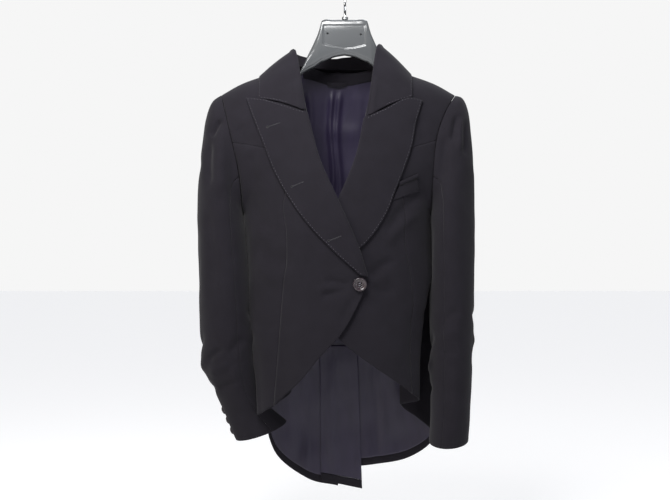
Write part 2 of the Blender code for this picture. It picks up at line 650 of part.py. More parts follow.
def pocket(wool):
    top = spread(POCKET["top"], POCKET["columns"])
    bottom = spread(POCKET["bottom"], POCKET["columns"])
    left = spread([top[0], bottom[0]], POCKET["rows"])
    right = spread([top[-1], bottom[-1]], POCKET["rows"])
    flat = coons(top, bottom, left, right)
    place = place_of(LEFT, flat[..., 0], flat[..., 1])
    out = body_wall / 2 + seam_gap + lining_wall / 2
    grid = body_skin(LEFT, FRONT, place, np.full(place.shape[:2], out))
    sheet("breast_pocket_welt", grid, lining_wall, wool, (0, -1, 0))


def frame_at(centre, facing):
    """Two directions square to the facing one."""
    facing = np.asarray(facing, float) / np.linalg.norm(facing)
    helper = np.array([0, 0, 1.0]) if abs(facing[2]) < 0.9 else np.array([1.0, 0, 0])
    across = np.cross(helper, facing)
    across /= np.linalg.norm(across)
    return across, np.cross(facing, across), facing


def circle(centre, across, upward, radius, sides):
    turns = np.linspace(0, 2 * math.pi, sides, endpoint=False)
    return [centre + radius * (across * math.cos(turn) + upward * math.sin(turn)) for turn in turns]


def button(name, centre, facing, radius, thick, made_of, sides):
    """A turned disc with a raised rim and a dished middle."""
    across, upward, out = frame_at(centre, facing)
    rings = [circle(centre + out * thick * height, across, upward, radius * share, sides)
             for share, height in BUTTON["profile"]]
    return closed_loft(name, rings, made_of)


def pierce(made, centre, facing, thick):
    """Cuts the four sewing holes."""
    across, upward, out = frame_at(centre, facing)
    for k in range(4):
        turn = math.radians(45 + 90 * k)
        place = centre + BUTTON["hole_spacing"] * (across * math.cos(turn) + upward * math.sin(turn))
        radius, sides = BUTTON["hole_radius"], BUTTON["hole_sides"]
        rings = [circle(place + out * thick * height, across, upward, radius, sides) for height in (-0.5, 1.5)]
        cutter = closed_loft(made.name + "_cutter_" + str(k), rings, made.data.materials[0])
        cutter.hide_render = True
        cutter.display_type = "WIRE"
        cut = made.modifiers.new("hole_" + str(k), "BOOLEAN")
        cut.operation = "DIFFERENCE"
        cut.solver = "EXACT"
        cut.object = cutter


def buttons(rings, horn):
    place = place_of(RIGHT, *BUTTON["place"])
    out = overlap_lift + body_wall / 2 + BUTTON["gap"]
    centre = body_skin(RIGHT, FRONT, place, out)
    facing = centre - body_skin(RIGHT, FRONT, place, 0.0)
    made = button("front_button", centre, facing, BUTTON["radius"], BUTTON["thick"], horn, BUTTON["sides"])
    pierce(made, centre, facing, BUTTON["thick"])
    for side, word in ((RIGHT, "right"), (LEFT, "left")):
        turn = CUFF_BUTTON["turn"][side]
        beside = CUFF_BUTTON["beside"]
        ring = rings[side](np.array([turn - beside, turn, turn + beside]))
        for k in range(CUFF_BUTTON["count"]):
            row = sleeve_rings - 1 - CUFF_BUTTON["first_row"] - CUFF_BUTTON["row_step"] * k
            low = int(row)
            middle = ring[low, 1] + (ring[low + 1, 1] - ring[low, 1]) * (row - low)
            facing = np.cross(ring[low, 2] - ring[low, 0], ring[low + 1, 1] - ring[low, 1])
            facing = facing / np.linalg.norm(facing)
            if facing[0] * side < 0:
                facing = -facing
            centre = middle + facing * (body_wall / 2 + CUFF_BUTTON["gap"])
            button("cuff_button_" + word + "_" + str(k + 1), centre, facing, CUFF_BUTTON["radius"],
                   CUFF_BUTTON["thick"], horn, CUFF_BUTTON["sides"])


def hanger(plastic):
    """The neck is a flat box and the arms are round; both come from one row of rings."""
    reach = HANGER["from_stem"]
    at = [-away for away in reversed(reach)] + list(reach[1:])
    rings = []
    for x in at:
        top = float(smooth(reach, HANGER["top"], abs(x)))
        low = float(smooth(reach, HANGER["bottom"], abs(x)))
        half = float(smooth(reach, HANGER["half"], abs(x)))
        power = hanger_neck_square if abs(x) < hanger_neck_reach else hanger_arm_round
        ring = []
        for k in range(hanger_sides):
            turn = 2 * math.pi * k / hanger_sides
            along, upward = math.cos(turn), math.sin(turn)
            y = half * math.copysign(abs(along) ** power, along)
            z = (top + low) / 2 + (top - low) / 2 * math.copysign(abs(upward) ** power, upward)
            ring.append((hanger_centre_x + x, y, z))
        rings.append(ring)
    closed_loft("hanger", rings, plastic)


def hook(steel):
    """The wire hook, turned edge on to the front, with the collar that it swivels in at its foot."""
    centre = hook_wire - hook_radius
    path = HOOK["stem"] + [(hook_radius - HOOK["stem_inset"], centre - hook_wire)]
    for degrees in range(10, 191, 15):
        turn = math.radians(degrees)
        path.append((hook_radius * math.cos(turn), centre + hook_radius * math.sin(turn)))
    path.append((-hook_radius - HOOK["tip_out"], centre - HOOK["tip_down"]))
    path = spread(path, HOOK["stations"])
    slope = np.gradient(path, axis=0)
    slope /= np.linalg.norm(slope, axis=1, keepdims=True)
    stations = [((0, z), (0, 1), radius) for z, radius in HOOK["collar"]]
    for place, way in zip(path[1:], slope[1:]):
        if place[1] > HOOK["collar"][-1][0] or place[0] < 0:
            stations.append((place, way, hook_wire))
    rings = []
    for (y, z), (dy, dz), radius in stations:
        ring = []
        for k in range(hook_sides):
            turn = 2 * math.pi * k / hook_sides
            across = radius * math.cos(turn)
            away = radius * math.sin(turn)
            ring.append((across, y - dz * away, z + dy * away))
        rings.append(ring)
    closed_loft("hook", rings, steel)


def loop(wool):
    """The bowed strip that the jacket is hung by."""
    grid = []
    for z in LOOP["z"]:
        row = []
        for share in np.linspace(0, 1, LOOP["columns"]):
            x = LOOP["from_x"] + (LOOP["to_x"] - LOOP["from_x"]) * share
            side = RIGHT if x < mid_x else LEFT
            depth = lining_depth + lining_wall + LOOP["gap"] + LOOP["bow"] * math.sin(math.pi * share)
            row.append(body_skin(side, BACK, place_of(side, x, z), -depth))
        grid.append(row)
    sheet("hanger_loop", np.array(grid), lining_wall, wool, (0, -1, 0))


def main():
    for old in list(bpy.data.objects):
        bpy.data.objects.remove(old)
    wool = material("wool", "17181c", 0.85)
    satin = material("lining_satin", "1b1a33", 0.45)
    horn = material("button_resin", "4a4652", 0.35)
    plastic = material("hanger_plastic", "3c3f42", 0.25)
    steel = material("hook_steel", "b9bbbd", 0.25, 1.0)
    rings = {}
    for side, word in ((RIGHT, "right"), (LEFT, "left")):
        front_panels(side, word, wool)
        back_panels(side, word, wool)
        rings[side] = sleeve(side, word, wool)
        lapel(side, word, wool)
    inside_panels(wool, satin)
    vent_strip(satin)
    collar(wool)
    pocket(wool)
    loop(wool)
    buttons(rings, horn)
    hanger(plastic)
    hook(steel)


main()
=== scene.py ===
import math

import bmesh
import bpy
import numpy as np
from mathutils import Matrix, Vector


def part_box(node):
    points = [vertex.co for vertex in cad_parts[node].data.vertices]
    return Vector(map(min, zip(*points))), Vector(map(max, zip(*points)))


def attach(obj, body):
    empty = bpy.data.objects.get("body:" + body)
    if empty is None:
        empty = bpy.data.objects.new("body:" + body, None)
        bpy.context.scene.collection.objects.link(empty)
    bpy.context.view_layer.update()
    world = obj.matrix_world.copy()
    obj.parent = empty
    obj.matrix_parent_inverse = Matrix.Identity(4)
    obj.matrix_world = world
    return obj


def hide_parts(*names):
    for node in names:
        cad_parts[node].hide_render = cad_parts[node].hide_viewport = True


# Cutaway tail jacket on a suit hanger. Sizes are in millimetres and become metres in each mesh.
# right and left are the wearer's, so the right half is at -X; the front faces -Y.

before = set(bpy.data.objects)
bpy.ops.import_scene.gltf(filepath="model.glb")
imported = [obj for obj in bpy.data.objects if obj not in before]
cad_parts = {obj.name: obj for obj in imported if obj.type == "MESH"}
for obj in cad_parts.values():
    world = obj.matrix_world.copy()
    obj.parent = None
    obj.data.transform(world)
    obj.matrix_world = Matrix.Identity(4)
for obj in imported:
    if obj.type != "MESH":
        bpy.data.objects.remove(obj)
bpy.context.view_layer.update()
print("frame loaded")

mm = 0.001
right, left = -1, 1
front, back = -1, 1
word = {right: "right", left: "left"}

# the form under the cloth, by level from the tails up to the shoulder
form = {
    "middleX": -12.0,
    "underarm": -391.0,
    "shoulder": -190.0,
    "armholeHalfDepth": 46.0,
    "armholeFoot": 0.35,
    "armholeFade": (66.0, 24.0),
    "shoulderRound": 6.0,
    "sideTurn": (0.4, 0.3),
    "foldPush": 0.008,
    "seamGap": 0.35,
    "wall": 1.6,
    "lapelWall": 2.0,
    "liningWall": 1.0,
    "liningDepth": 2.1,
    "level": [-900, -765, -700, -600, -517, -450, -410, -391, -327, -275, -231, -190],
    right: [147, 147, 149, 156, 159, 162, 164.5, 165.5, 171, 183, 193, 203],
    left: [152, 152, 150, 155, 166, 163, 162, 162, 163, 169, 184, 204],
    "front": [86, 88, 86, 84, 82, 86, 88, 88, 84, 78, 74, 70],
    "back": [66, 66, 62, 56, 54, 58, 61, 62, 64, 62, 60, 58],
    "fromMid": [0, 70, 122, 178, 204, 240],
    "shoulderHeight": [-100, -132, -152, -173, -188, -204],
}
layer = form["wall"] / 2 + form["seamGap"] + form["lapelWall"] / 2

# how each side folds in (+) or stands out (-) round the body, from the front middle to the back middle
sideFold = {
    right: {"turn": [0, 62, 75, 90, 112, 134, 156, 180], "share": [0, 0, 0.08, 1.0, 0.2, -0.12, 0, 0],
            "depth": 75.0, "from": -600.0, "to": -735.0},
    left: {"turn": [0, 60, 74, 90, 104, 118, 142, 165, 180],
           "share": [0, 0, 0.12, 1.0, 0.15, -0.86, -0.7, 0, 0],
           "depth": 40.0, "from": -504.0, "to": -550.0},
}

# the right front over the left one
overlap = {"lift": 7.6, "fromX": -118.0, "toX": -66.0, "top": -290.0, "fade": 60.0}

# lines drawn on the front view, x and z
rollLine = {
    right: [(-82, -150), (-79, -171), (-68, -220), (-47, -300), (-12, -381), (20, -457), (34, -503)],
    left: [(52, -140), (46, -171), (39, -206), (21, -296), (-12, -381), (-33, -449), (-50, -503)],
}
lapelEdge = {
    right: [(-169, -198), (-162, -217), (-141, -271), (-119, -325), (-94, -368), (-60, -415), (-26, -452),
            (24, -499)],
    left: [(131, -203), (123, -229), (110, -288), (84, -356), (67, -398), (33, -446), (-9, -478),
           (-44, -502)],
}
gorge = {
    right: [(-67, -224), (-104, -212), (-147, -200), (-169, -198)],
    left: [(35, -234), (67, -218), (113, -199), (131, -203)],
}
cutaway = {
    right: [(34, -503), (30, -525), (16, -558), (-9, -601), (-43, -639), (-76, -682), (-119, -723)],
    left: [(-50, -503), (-51, -525), (-38, -567), (-9, -609), (42, -651), (89, -685), (114, -704)],
}
princess = {
    right: [(-105, -294), (-99, -424), (-107, -542), (-119, -723)],
    left: [(89, -293), (101, -424), (115, -542), (114, -704)],
}
sideHem = {right: [(-119, -723), (-152, -742)], left: [(114, -704), (134, -719)]}
sideHemLevel = {right: -696.0, left: -728.0}
yokeSeam = -290.0

tail = {
    "turn": [90, 110, 125, 140, 158, 180],
    right: [-696, -738, -786, -832, -868, -882],
    left: [-728, -766, -800, -828, -843, -850],
    "neckHeight": -140.0,
    "hemBand": 14.0,
    "facingHeight": 14.0,
    "liningReach": {right: 0.69, left: 0.93},
}
neckHalfWidth = {right: 80.0, left: 95.0}


def ease(share):
    share = np.clip(share, 0.0, 1.0)
    return share * share * (3 - 2 * share)


def through(xs, ys, at):
    # cubic curve through the table
    xs = np.asarray(xs, float)
    ys = np.asarray(ys, float)
    if xs[0] > xs[-1]:
        xs = xs[::-1]
        ys = ys[::-1]
    slope = np.gradient(ys, xs)
    at = np.clip(np.asarray(at, float), xs[0], xs[-1])
    low = np.clip(np.searchsorted(xs, at, side="right") - 1, 0, len(xs) - 2)
    span = xs[low + 1] - xs[low]
    t = (at - xs[low]) / span
    value = ys[low] * (1 + 2 * t) * (1 - t) ** 2 + ys[low + 1] * t * t * (3 - 2 * t)
    return value + span * (slope[low] * t * (1 - t) ** 2 - slope[low + 1] * t * t * (1 - t))


def spread(points, count, power=1.0):
    points = np.asarray(points, float)
    along = np.concatenate([[0], np.cumsum(np.linalg.norm(np.diff(points, axis=0), axis=1))])
    at = along[-1] * np.linspace(0, 1, count) ** power
    return np.stack([through(along, points[:, k], at) for k in range(points.shape[1])], axis=1)


def shoulderHeight(fromMid):
    return through(form["fromMid"], form["shoulderHeight"], fromMid)


def rise(level):
    return np.clip((level - form["underarm"]) / (form["shoulder"] - form["underarm"]), 0, 1)


def foldIn(side, turn, level):
    fold = sideFold[side]
    share = through(fold["turn"], fold["share"], turn)
    return fold["depth"] * share * ease((fold["from"] - level) / (fold["from"] - fold["to"]))


def halfWidth(side, level):
    return through(form["level"], form[side], level)


def sideShare(level):
    # how much of a quarter circle the cross section takes up: less above the armhole's foot
    less, reach = form["sideTurn"]
    return 1 - less * ease(rise(level) / reach)


def phiAt(side, fromMid, level):
    share = sideShare(level)
    reach = np.clip(fromMid / halfWidth(side, level), -1, 1) * np.sin(np.radians(90 * share))
    return np.degrees(np.arcsin(reach)) / share


def bodyPoint(side, half, phi, level):
    # phi is 0 at the middle and 90 at the side seam
    up = rise(level)
    share = sideShare(level)
    fromMid = halfWidth(side, level) * np.sin(np.radians(phi * share)) / np.sin(np.radians(90 * share))
    fold = foldIn(side, np.abs(phi) if half == front else 180 - np.abs(phi), level)
    x = form["middleX"] + side * (fromMid - fold)
    top = shoulderHeight(np.abs(fromMid))
    z = np.where(up > 0, form["underarm"] + (top - form["underarm"]) * up, level)
    # the armhole's round foot fades out towards the front and the back
    fadeFrom, fadeOver = form["armholeFade"]
    soft = up * ease(up / form["armholeFoot"])
    soft = soft + (up - soft) * ease((np.abs(phi) - fadeFrom) / fadeOver) ** 2
    edge = 2 * form["armholeHalfDepth"] * np.sqrt(soft * (1 - soft))
    depth = through(form["level"], form["front" if half == front else "back"], level)
    depth = depth * np.sqrt(1 - up ** form["shoulderRound"])
    low = np.cos(np.radians(90 * share))
    forward = (np.cos(np.radians(phi * share)) - low) / (1 - low)
    y = half * (edge + (depth - edge) * forward + form["seamGap"] / 2 + form["foldPush"] * np.abs(fold))
    return np.stack([x, y, z], axis=-1)


def bodyNormal(side, half, phi, level):
    step = 0.4
    lowest, highest = form["level"][0], form["shoulder"]
    across = (bodyPoint(side, half, np.clip(phi + step, -90, 90), level)
              - bodyPoint(side, half, np.clip(phi - step, -90, 90), level))
    upward = (bodyPoint(side, half, phi, np.clip(level + step, lowest, highest))
              - bodyPoint(side, half, phi, np.clip(level - step, lowest, highest)))
    normal = np.cross(across, upward) * -side * half
    return normal / np.maximum(np.linalg.norm(normal, axis=-1, keepdims=True), 1e-9)


def bodySkin(side, half, place, out):
    # points so far out from the body's form; a place is its turn phi and its level
    place = np.asarray(place, float)
    phi = np.clip(place[..., 0], -90, 90)
    level = place[..., 1]
    away = bodyNormal(side, half, phi, level) * np.asarray(out)[..., None]
    return bodyPoint(side, half, phi, level) + away


def placeOf(side, x, z):
    # the place under a point of the front view
    fromMid = side * (np.asarray(x, float) - form["middleX"])
    z = np.asarray(z, float)
    up = (z - form["underarm"]) / (shoulderHeight(np.abs(fromMid)) - form["underarm"])
    level = np.where(up > 0, form["underarm"] + np.minimum(up, 1) * (form["shoulder"] - form["underarm"]), z)
    return np.stack([phiAt(side, fromMid, level), level], axis=-1)


def frontPlaces(side, points):
    points = np.asarray(points, float)
    return placeOf(side, points[:, 0], points[:, 1])


def between(curve, start, end):
    # the part of a line of the front view from one height down to another
    curve = np.asarray(curve, float)
    z = curve[:, 1]
    keep = [tuple(p) for p in curve if start > p[1] > end]
    first, last = [(float(through(z, curve[:, 0], at)), at) for at in (start, end)]
    return [first] + keep + [last]


def fill(top, bottom, leftEdge, rightEdge):
    # blends four edges into a grid
    v = np.linspace(0, 1, len(leftEdge))[:, None, None]
    u = np.linspace(0, 1, len(top))[None, :, None]
    across = (1 - u) * leftEdge[:, None] + u * rightEdge[:, None]
    down = (1 - v) * top[None] + v * bottom[None]
    corners = ((1 - u) * (1 - v) * top[0] + u * (1 - v) * top[-1]
               + (1 - u) * v * bottom[0] + u * v * bottom[-1])
    return across + down - corners


def trimmed(grid, gap=0.3):
    # draws each edge in by half a seam's gap
    grid = grid.copy()
    for axis in (0, 1):
        moved = np.moveaxis(grid, axis, 0)
        for edge, inner in ((0, 1), (-1, -2)):
            pull = moved[inner] - moved[edge]
            moved[edge] += pull / np.maximum(np.linalg.norm(pull, axis=-1, keepdims=True), 1e-9) * gap / 2
    return grid


def normalsOf(grid, outward):
    normal = np.cross(np.gradient(grid, axis=0), np.gradient(grid, axis=1))
    normal /= np.maximum(np.linalg.norm(normal, axis=-1, keepdims=True), 1e-9)
    if np.sum(normal.mean(axis=(0, 1)) * outward) < 0:
        normal = -normal
    return normal


# creases: x and z where each starts and ends, bow, width, depth, lean
# seen from the front or the back x is across the picture, and seen from a side it is the depth y
# depth is out of the cloth (+) or into it (-); lean lifts one side of the crease and lowers the other
creases = {
    "front": [
        # right sleeve: the dent in its head, the long soft folds below and the elbow
        (-208, -231, -231, -268, 3, 7, -5.0, 0.3), (-230, -262, -229, -356, 3, 9, -3.6, 0.3),
        (-214, -248, -219, -378, -3, 12, 3.0, 0), (-234, -376, -225, -476, 0, 10, -1.8, 0.2),
        (-195, -283, -184, -434, 2, 8, -1.8, 0), (-217, -438, -229, -552, 2, 12, -1.8, 0.2),
        (-195, -466, -201, -586, 0, 14, 1.5, 0), (-243, -653, -205, -623, -3, 7, -2.6, 0.3),
        (-235, -676, -195, -650, -3, 8, 2.1, 0), (-226, -699, -178, -682, -2, 8, -2.1, 0.2),
        (-168, -606, -201, -641, 3, 8, -2.4, 0), (-190, -650, -186, -704, 2, 9, 1.6, 0),
        # left sleeve: small gathers at its head, and slack at the elbow
        (195, -221, 184, -278, 2, 6, -3.2, 0.2), (206, -229, 205, -301, 0, 6, -2.4, 0.2),
        (200, -226, 195, -295, 0, 6, 2.2, 0), (178, -249, 166, -357, 3, 8, -2.3, 0.2),
        (177, -322, 171, -476, 0, 12, 1.6, 0), (211, -310, 205, -476, 0, 14, -1.7, 0),
        (160, -580, 201, -556, -2, 9, -1.9, 0.3), (158, -608, 206, -595, -2, 10, 1.6, 0),
        (160, -636, 195, -631, -2, 8, -1.6, 0.2), (178, -634, 174, -769, 2, 13, -1.6, 0),
        # right front: pulls at the button, and slack from the armhole to the waist
        (14, -517, -38, -505, -2, 6, -2.2, 0.2), (10, -523, -46, -540, 3, 7, -1.7, 0.2),
        (12, -520, -51, -522, 0, 6, 1.6, 0), (21, -531, -7, -584, 3, 8, -1.3, 0),
        (-166, -438, -82, -491, 6, 16, -1.7, 0.2), (-155, -472, -99, -513, 5, 14, 1.4, 0),
        (-160, -355, -121, -434, 5, 14, -1.7, 0.2), (-138, -577, -132, -704, 2, 16, 1.7, 0),
        (-163, -285, -146, -357, 3, 10, -1.5, 0), (-182, -240, -160, -286, 3, 12, -1.5, 0),
        # left front: the two slanting folds below the pocket, and pulls at the button
        (142, -355, 69, -434, 8, 10, -2.5, 0.3), (131, -388, 64, -456, 6, 9, 2.1, 0),
        (88, -472, 34, -512, 4, 8, -2.4, 0.3), (77, -500, 37, -520, 2, 7, 1.7, 0),
        (88, -528, 40, -527, -2, 8, -1.5, 0.2), (119, -229, 142, -280, 3, 12, -1.5, 0),
        (114, -549, 117, -677, 0, 12, -1.5, 0), (64, -577, 87, -660, 3, 18, 1.3, 0),
    ],
    "back": [
        # across the shoulder blades, into the waist, down the tails, and the elbows from behind
        (-124, -298, -58, -362, 6, 14, -1.9, 0.2), (118, -302, 60, -358, -6, 14, -1.8, 0.2),
        (-44, -238, 38, -246, 5, 16, -1.3, 0), (-92, -468, -28, -502, 4, 14, -1.9, 0.2),
        (82, -463, 26, -494, -4, 13, -1.7, 0.2), (-96, -512, -40, -528, 3, 10, 1.4, 0),
        (-60, -618, -71, -842, 4, 16, 2.3, 0), (42, -598, 51, -832, -4, 16, 2.0, 0),
        (-21, -640, -24, -862, 2, 9, -1.7, 0), (92, -622, 97, -803, 3, 14, -1.6, 0),
        (-226, -298, -221, -424, 3, 12, -2.0, 0), (206, -290, 200, -416, -3, 12, -1.8, 0),
        (-241, -642, -199, -614, -2, 8, -2.1, 0.3), (-233, -669, -189, -646, -2, 8, 1.9, 0),
        (201, -559, 164, -586, 2, 8, -2.1, 0.3), (206, -600, 161, -613, 2, 9, 1.7, 0),
    ],
    "rightSide": [
        (-31, -298, 28, -331, 4, 14, -1.6, 0), (-36, -598, 31, -641, 4, 9, -2.1, 0.2),
        (-31, -649, 34, -671, 3, 9, 2.0, 0), (-28, -690, 22, -702, 2, 8, -1.7, 0.2),
        (6, -236, 2, -330, 3, 9, -2.2, 0.2), (-14, -400, -10, -540, 4, 13, -1.5, 0),
    ],
    "leftSide": [
        (-36, -558, 34, -586, 4, 9, -2.1, 0.2), (-31, -609, 36, -621, 3, 10, 1.7, 0),
        (-28, -642, 24, -650, 2, 9, -1.6, 0.2), (2, -238, 5, -328, 3, 8, -2.1, 0.2),
        (12, -390, 8, -530, 3, 13, -1.6, 0), (-22, -300, 26, -322, 3, 14, -1.4, 0),
    ],
}
# one gain for every crease; edgeOn and turn fade a crease out where the cloth turns away from its view
creaseForm = {"gain": 1.7, "edgeOn": 0.15, "turn": 0.5, "end": 0.3, "lean": 1.4}
seenFrom = {"front": (0, -1, 0), "back": (0, 1, 0), "rightSide": (-1, 0, 0), "leftSide": (1, 0, 0)}
unevenness = {"height": 0.35, "seed": 4, "waves": 9, "shortest": 38.0, "longest": 120.0}


def creaseDepth(points, normals):
    depth = np.zeros(points.shape[:-1])
    for view, rows in creases.items():
        look = np.array(seenFrom[view], float)
        facing = ease((normals @ look + creaseForm["edgeOn"]) / creaseForm["turn"])
        across = points[..., 1] if "Side" in view else points[..., 0]
        for x0, z0, x1, z1, bow, width, height, lean in rows:
            length = math.hypot(x1 - x0, z1 - z0)
            ux, uz = (x1 - x0) / length, (z1 - z0) / length
            t = ((across - x0) * ux + (points[..., 2] - z0) * uz) / length
            off = (across - x0) * uz - (points[..., 2] - z0) * ux
            off = (off - bow * np.sin(np.pi * np.clip(t, 0, 1))) / width
            ends = ease(t / creaseForm["end"]) * ease((1 - t) / creaseForm["end"])
            bank = np.exp(-off ** 2) * (1 + lean * creaseForm["lean"] * off)
            depth += facing * ends * creaseForm["gain"] * height * bank
    return depth + softWaves(points)


def softWaves(points):
    # a hand-pressed cloth is never quite even
    random = np.random.default_rng(unevenness["seed"])
    total = np.zeros(points.shape[:-1])
    for k in range(unevenness["waves"]):
        way = random.normal(size=3)
        way /= np.linalg.norm(way)
        wave = random.uniform(unevenness["shortest"], unevenness["longest"])
        total += np.sin(points @ way * 2 * np.pi / wave + random.uniform(0, 2 * np.pi))
    return total * unevenness["height"] / math.sqrt(unevenness["waves"])


def distanceFrom(grid, edge):
    # millimetres from one edge of the grid to each of its points
    axis = 0 if edge in ("first row", "last row") else 1
    steps = np.linalg.norm(np.diff(grid, axis=axis), axis=-1)
    start = np.zeros_like(np.take(steps, [0], axis=axis))
    along = np.concatenate([start, np.cumsum(steps, axis=axis)], axis=axis)
    if edge.startswith("last"):
        along = np.take(along, [-1], axis=axis) - along
    return along


def draped(grid, outward, seams=(), dip=0.45, reach=2.4):
    # moves the cloth by its creases, and draws it in along its seams
    normals = normalsOf(grid, outward)
    depth = creaseDepth(grid, normals)
    for edge in seams:
        depth -= dip * np.exp(-(distanceFrom(grid, edge) / reach) ** 2)
    return grid + normals * depth[..., None]


def addMesh(name, vertices, faces, uv=None):
    mesh = bpy.data.meshes.new(name)
    mesh.from_pydata((np.asarray(vertices) * mm).tolist(), [], faces)
    mesh.shade_smooth()
    if uv is not None:
        corner = np.empty(len(mesh.loops), int)
        mesh.loops.foreach_get("vertex_index", corner)
        mesh.uv_layers.new(name="cloth").data.foreach_set("uv", np.asarray(uv)[corner].ravel())
    made = bpy.data.objects.new(name, mesh)
    bpy.context.scene.collection.objects.link(made)
    return made


def show(made, look, nodes=()):
    made.data.materials.append(look)
    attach(made, "root")
    if nodes:
        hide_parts(*nodes)
    return made


def shell(name, grid, outward, thick, edgeRound=0.15):
    # a thin closed wall on the grid, with a rounded edge
    grid = np.asarray(grid, float)
    normal = normalsOf(grid, outward)
    if np.sum(np.cross(np.gradient(grid, axis=0), np.gradient(grid, axis=1)) * normal) < 0:
        grid = grid[:, ::-1]
        normal = normal[:, ::-1]
    rows, columns = grid.shape[:2]
    index = np.arange(rows * columns).reshape(rows, columns)
    rim = np.concatenate([index[0, :-1], index[:-1, -1], index[-1, :0:-1], index[:0:-1, 0]])
    inward = np.zeros_like(grid)
    for axis in (0, 1):
        moved = np.moveaxis(grid, axis, 0)
        pull = np.moveaxis(inward, axis, 0)
        pull[0] += moved[0] - moved[1]
        pull[-1] += moved[-1] - moved[-2]
    inward /= np.maximum(np.linalg.norm(inward, axis=-1, keepdims=True), 1e-9)
    outer = (grid + normal * thick / 2).reshape(-1, 3)
    inner = (grid - normal * thick / 2).reshape(-1, 3)
    edge = (grid + inward * thick * edgeRound).reshape(-1, 3)[rim]
    count = rows * columns
    a, b = index[:-1, :-1].ravel(), index[1:, :-1].ravel()
    c, d = index[1:, 1:].ravel(), index[:-1, 1:].ravel()
    faces = np.stack([a, b, c, d], axis=1).tolist()
    faces += np.stack([a + count, d + count, c + count, b + count], axis=1).tolist()
    for k, first in enumerate(rim):
        k2 = (k + 1) % len(rim)
        second = rim[k2]
        faces.append((int(first), int(second), 2 * count + k2, 2 * count + k))
        faces.append((2 * count + k, 2 * count + k2, int(second) + count, int(first) + count))
    u = distanceFrom(grid, "first column").ravel()
    v = distanceFrom(grid, "first row").ravel()
    uv = np.stack([u, v], axis=1) / 100
    uv = np.concatenate([uv, uv, uv[rim]])
    made = addMesh(name, np.concatenate([outer, inner, edge]), faces, uv)
    cell = np.cross(grid[1:, :-1] - grid[:-1, :-1], grid[:-1, 1:] - grid[:-1, :-1])
    made["area"] = float(np.linalg.norm(cell, axis=-1).sum() / 1e6)
    made["wide"] = float(distanceFrom(grid, "first column")[:, -1].max() / 1e3)
    made["long"] = float(distanceFrom(grid, "first row")[-1].max() / 1e3)
    return made


def cloth(name, grid, outward, thick, look, nodes, edgeRound=0.15):
    made = show(shell(name, grid, outward, thick, edgeRound), look, nodes)
    return made


# materials
def linear(code):
    # sRGB hex to linear
    channels = [int(code[k:k + 2], 16) / 255 for k in (0, 2, 4)]
    return tuple(c / 12.92 if c <= 0.04045 else ((c + 0.055) / 1.055) ** 2.4 for c in channels) + (1.0,)


def addNode(tree, kind, settings=None, links=None):
    node = tree.nodes.new(kind)
    for key, value in (settings or {}).items():
        if isinstance(key, str) and hasattr(node, key):
            setattr(node, key, value)
        else:
            node.inputs[key].default_value = value
    for key, source in (links or {}).items():
        tree.links.new(source, node.inputs[key])
    return node


def newLook(name, settings):
    look = bpy.data.materials.new(name)
    look.use_nodes = True
    shader = look.node_tree.nodes["Principled BSDF"]
    for key, value in settings.items():
        shader.inputs[key].default_value = value
    return look, look.node_tree, shader


def mixed(tree, share, low, high):
    return addNode(tree, "ShaderNodeMix", {"data_type": "RGBA", 6: linear(low), 7: linear(high)}, {0: share})


# worsted wool suiting, woven in a fine twill and pressed: it soaks up light, with a faint bloom of
# fibre ends, and its tone drifts a little in patches
woolLook = {
    "dark": "17151a", "pale": "1d1b21", "patch": 26.0, "rough": 0.88, "shine": 0.1,
    "bloom": 0.05, "bloomRough": 0.5,
    "twill": 1.6, "twillHeight": 0.10, "fuzz": 5.0, "fuzzHeight": 0.12,
}


def makeWool():
    look, tree, shader = newLook("pressed wool twill", {
        "Roughness": woolLook["rough"], "Sheen Weight": woolLook["bloom"],
        "Sheen Roughness": woolLook["bloomRough"], "Specular IOR Level": woolLook["shine"]})
    uv = addNode(tree, "ShaderNodeUVMap", {"uv_map": "cloth"})
    place = addNode(tree, "ShaderNodeTexCoord")
    tone = addNode(tree, "ShaderNodeTexNoise", {"Scale": 1000 / woolLook["patch"], "Detail": 6.0},
                   {"Vector": place.outputs["Object"]})
    colour = mixed(tree, tone.outputs["Fac"], woolLook["dark"], woolLook["pale"])
    tree.links.new(colour.outputs[2], shader.inputs["Base Color"])
    # the real twill is 0.5 mm, too fine for a pixel, so it is drawn coarser
    twill = addNode(tree, "ShaderNodeTexWave", {
        "Scale": 100 / woolLook["twill"] / 2, "bands_direction": "DIAGONAL", "Distortion": 0.6,
        "Detail": 1.0}, {"Vector": uv.outputs[0]})
    fuzz = addNode(tree, "ShaderNodeTexNoise", {"Scale": 1000 / woolLook["fuzz"], "Detail": 8.0},
                   {"Vector": place.outputs["Object"]})
    low = addNode(tree, "ShaderNodeBump", {"Strength": woolLook["twillHeight"], "Distance": 0.0005},
                  {"Height": twill.outputs["Fac"]})
    high = addNode(tree, "ShaderNodeBump", {"Strength": woolLook["fuzzHeight"], "Distance": 0.001},
                   {"Height": fuzz.outputs["Fac"], "Normal": low.outputs[0]})
    tree.links.new(high.outputs[0], shader.inputs["Normal"])
    return look


# acetate satin lining: long floats lie side by side, so it has a soft streaked shine
satinLook = {"dark": "1a1626", "pale": "272136", "streak": 14.0, "rough": 0.42, "shine": 0.3,
             "stretch": 0.3, "streakHeight": 0.12}


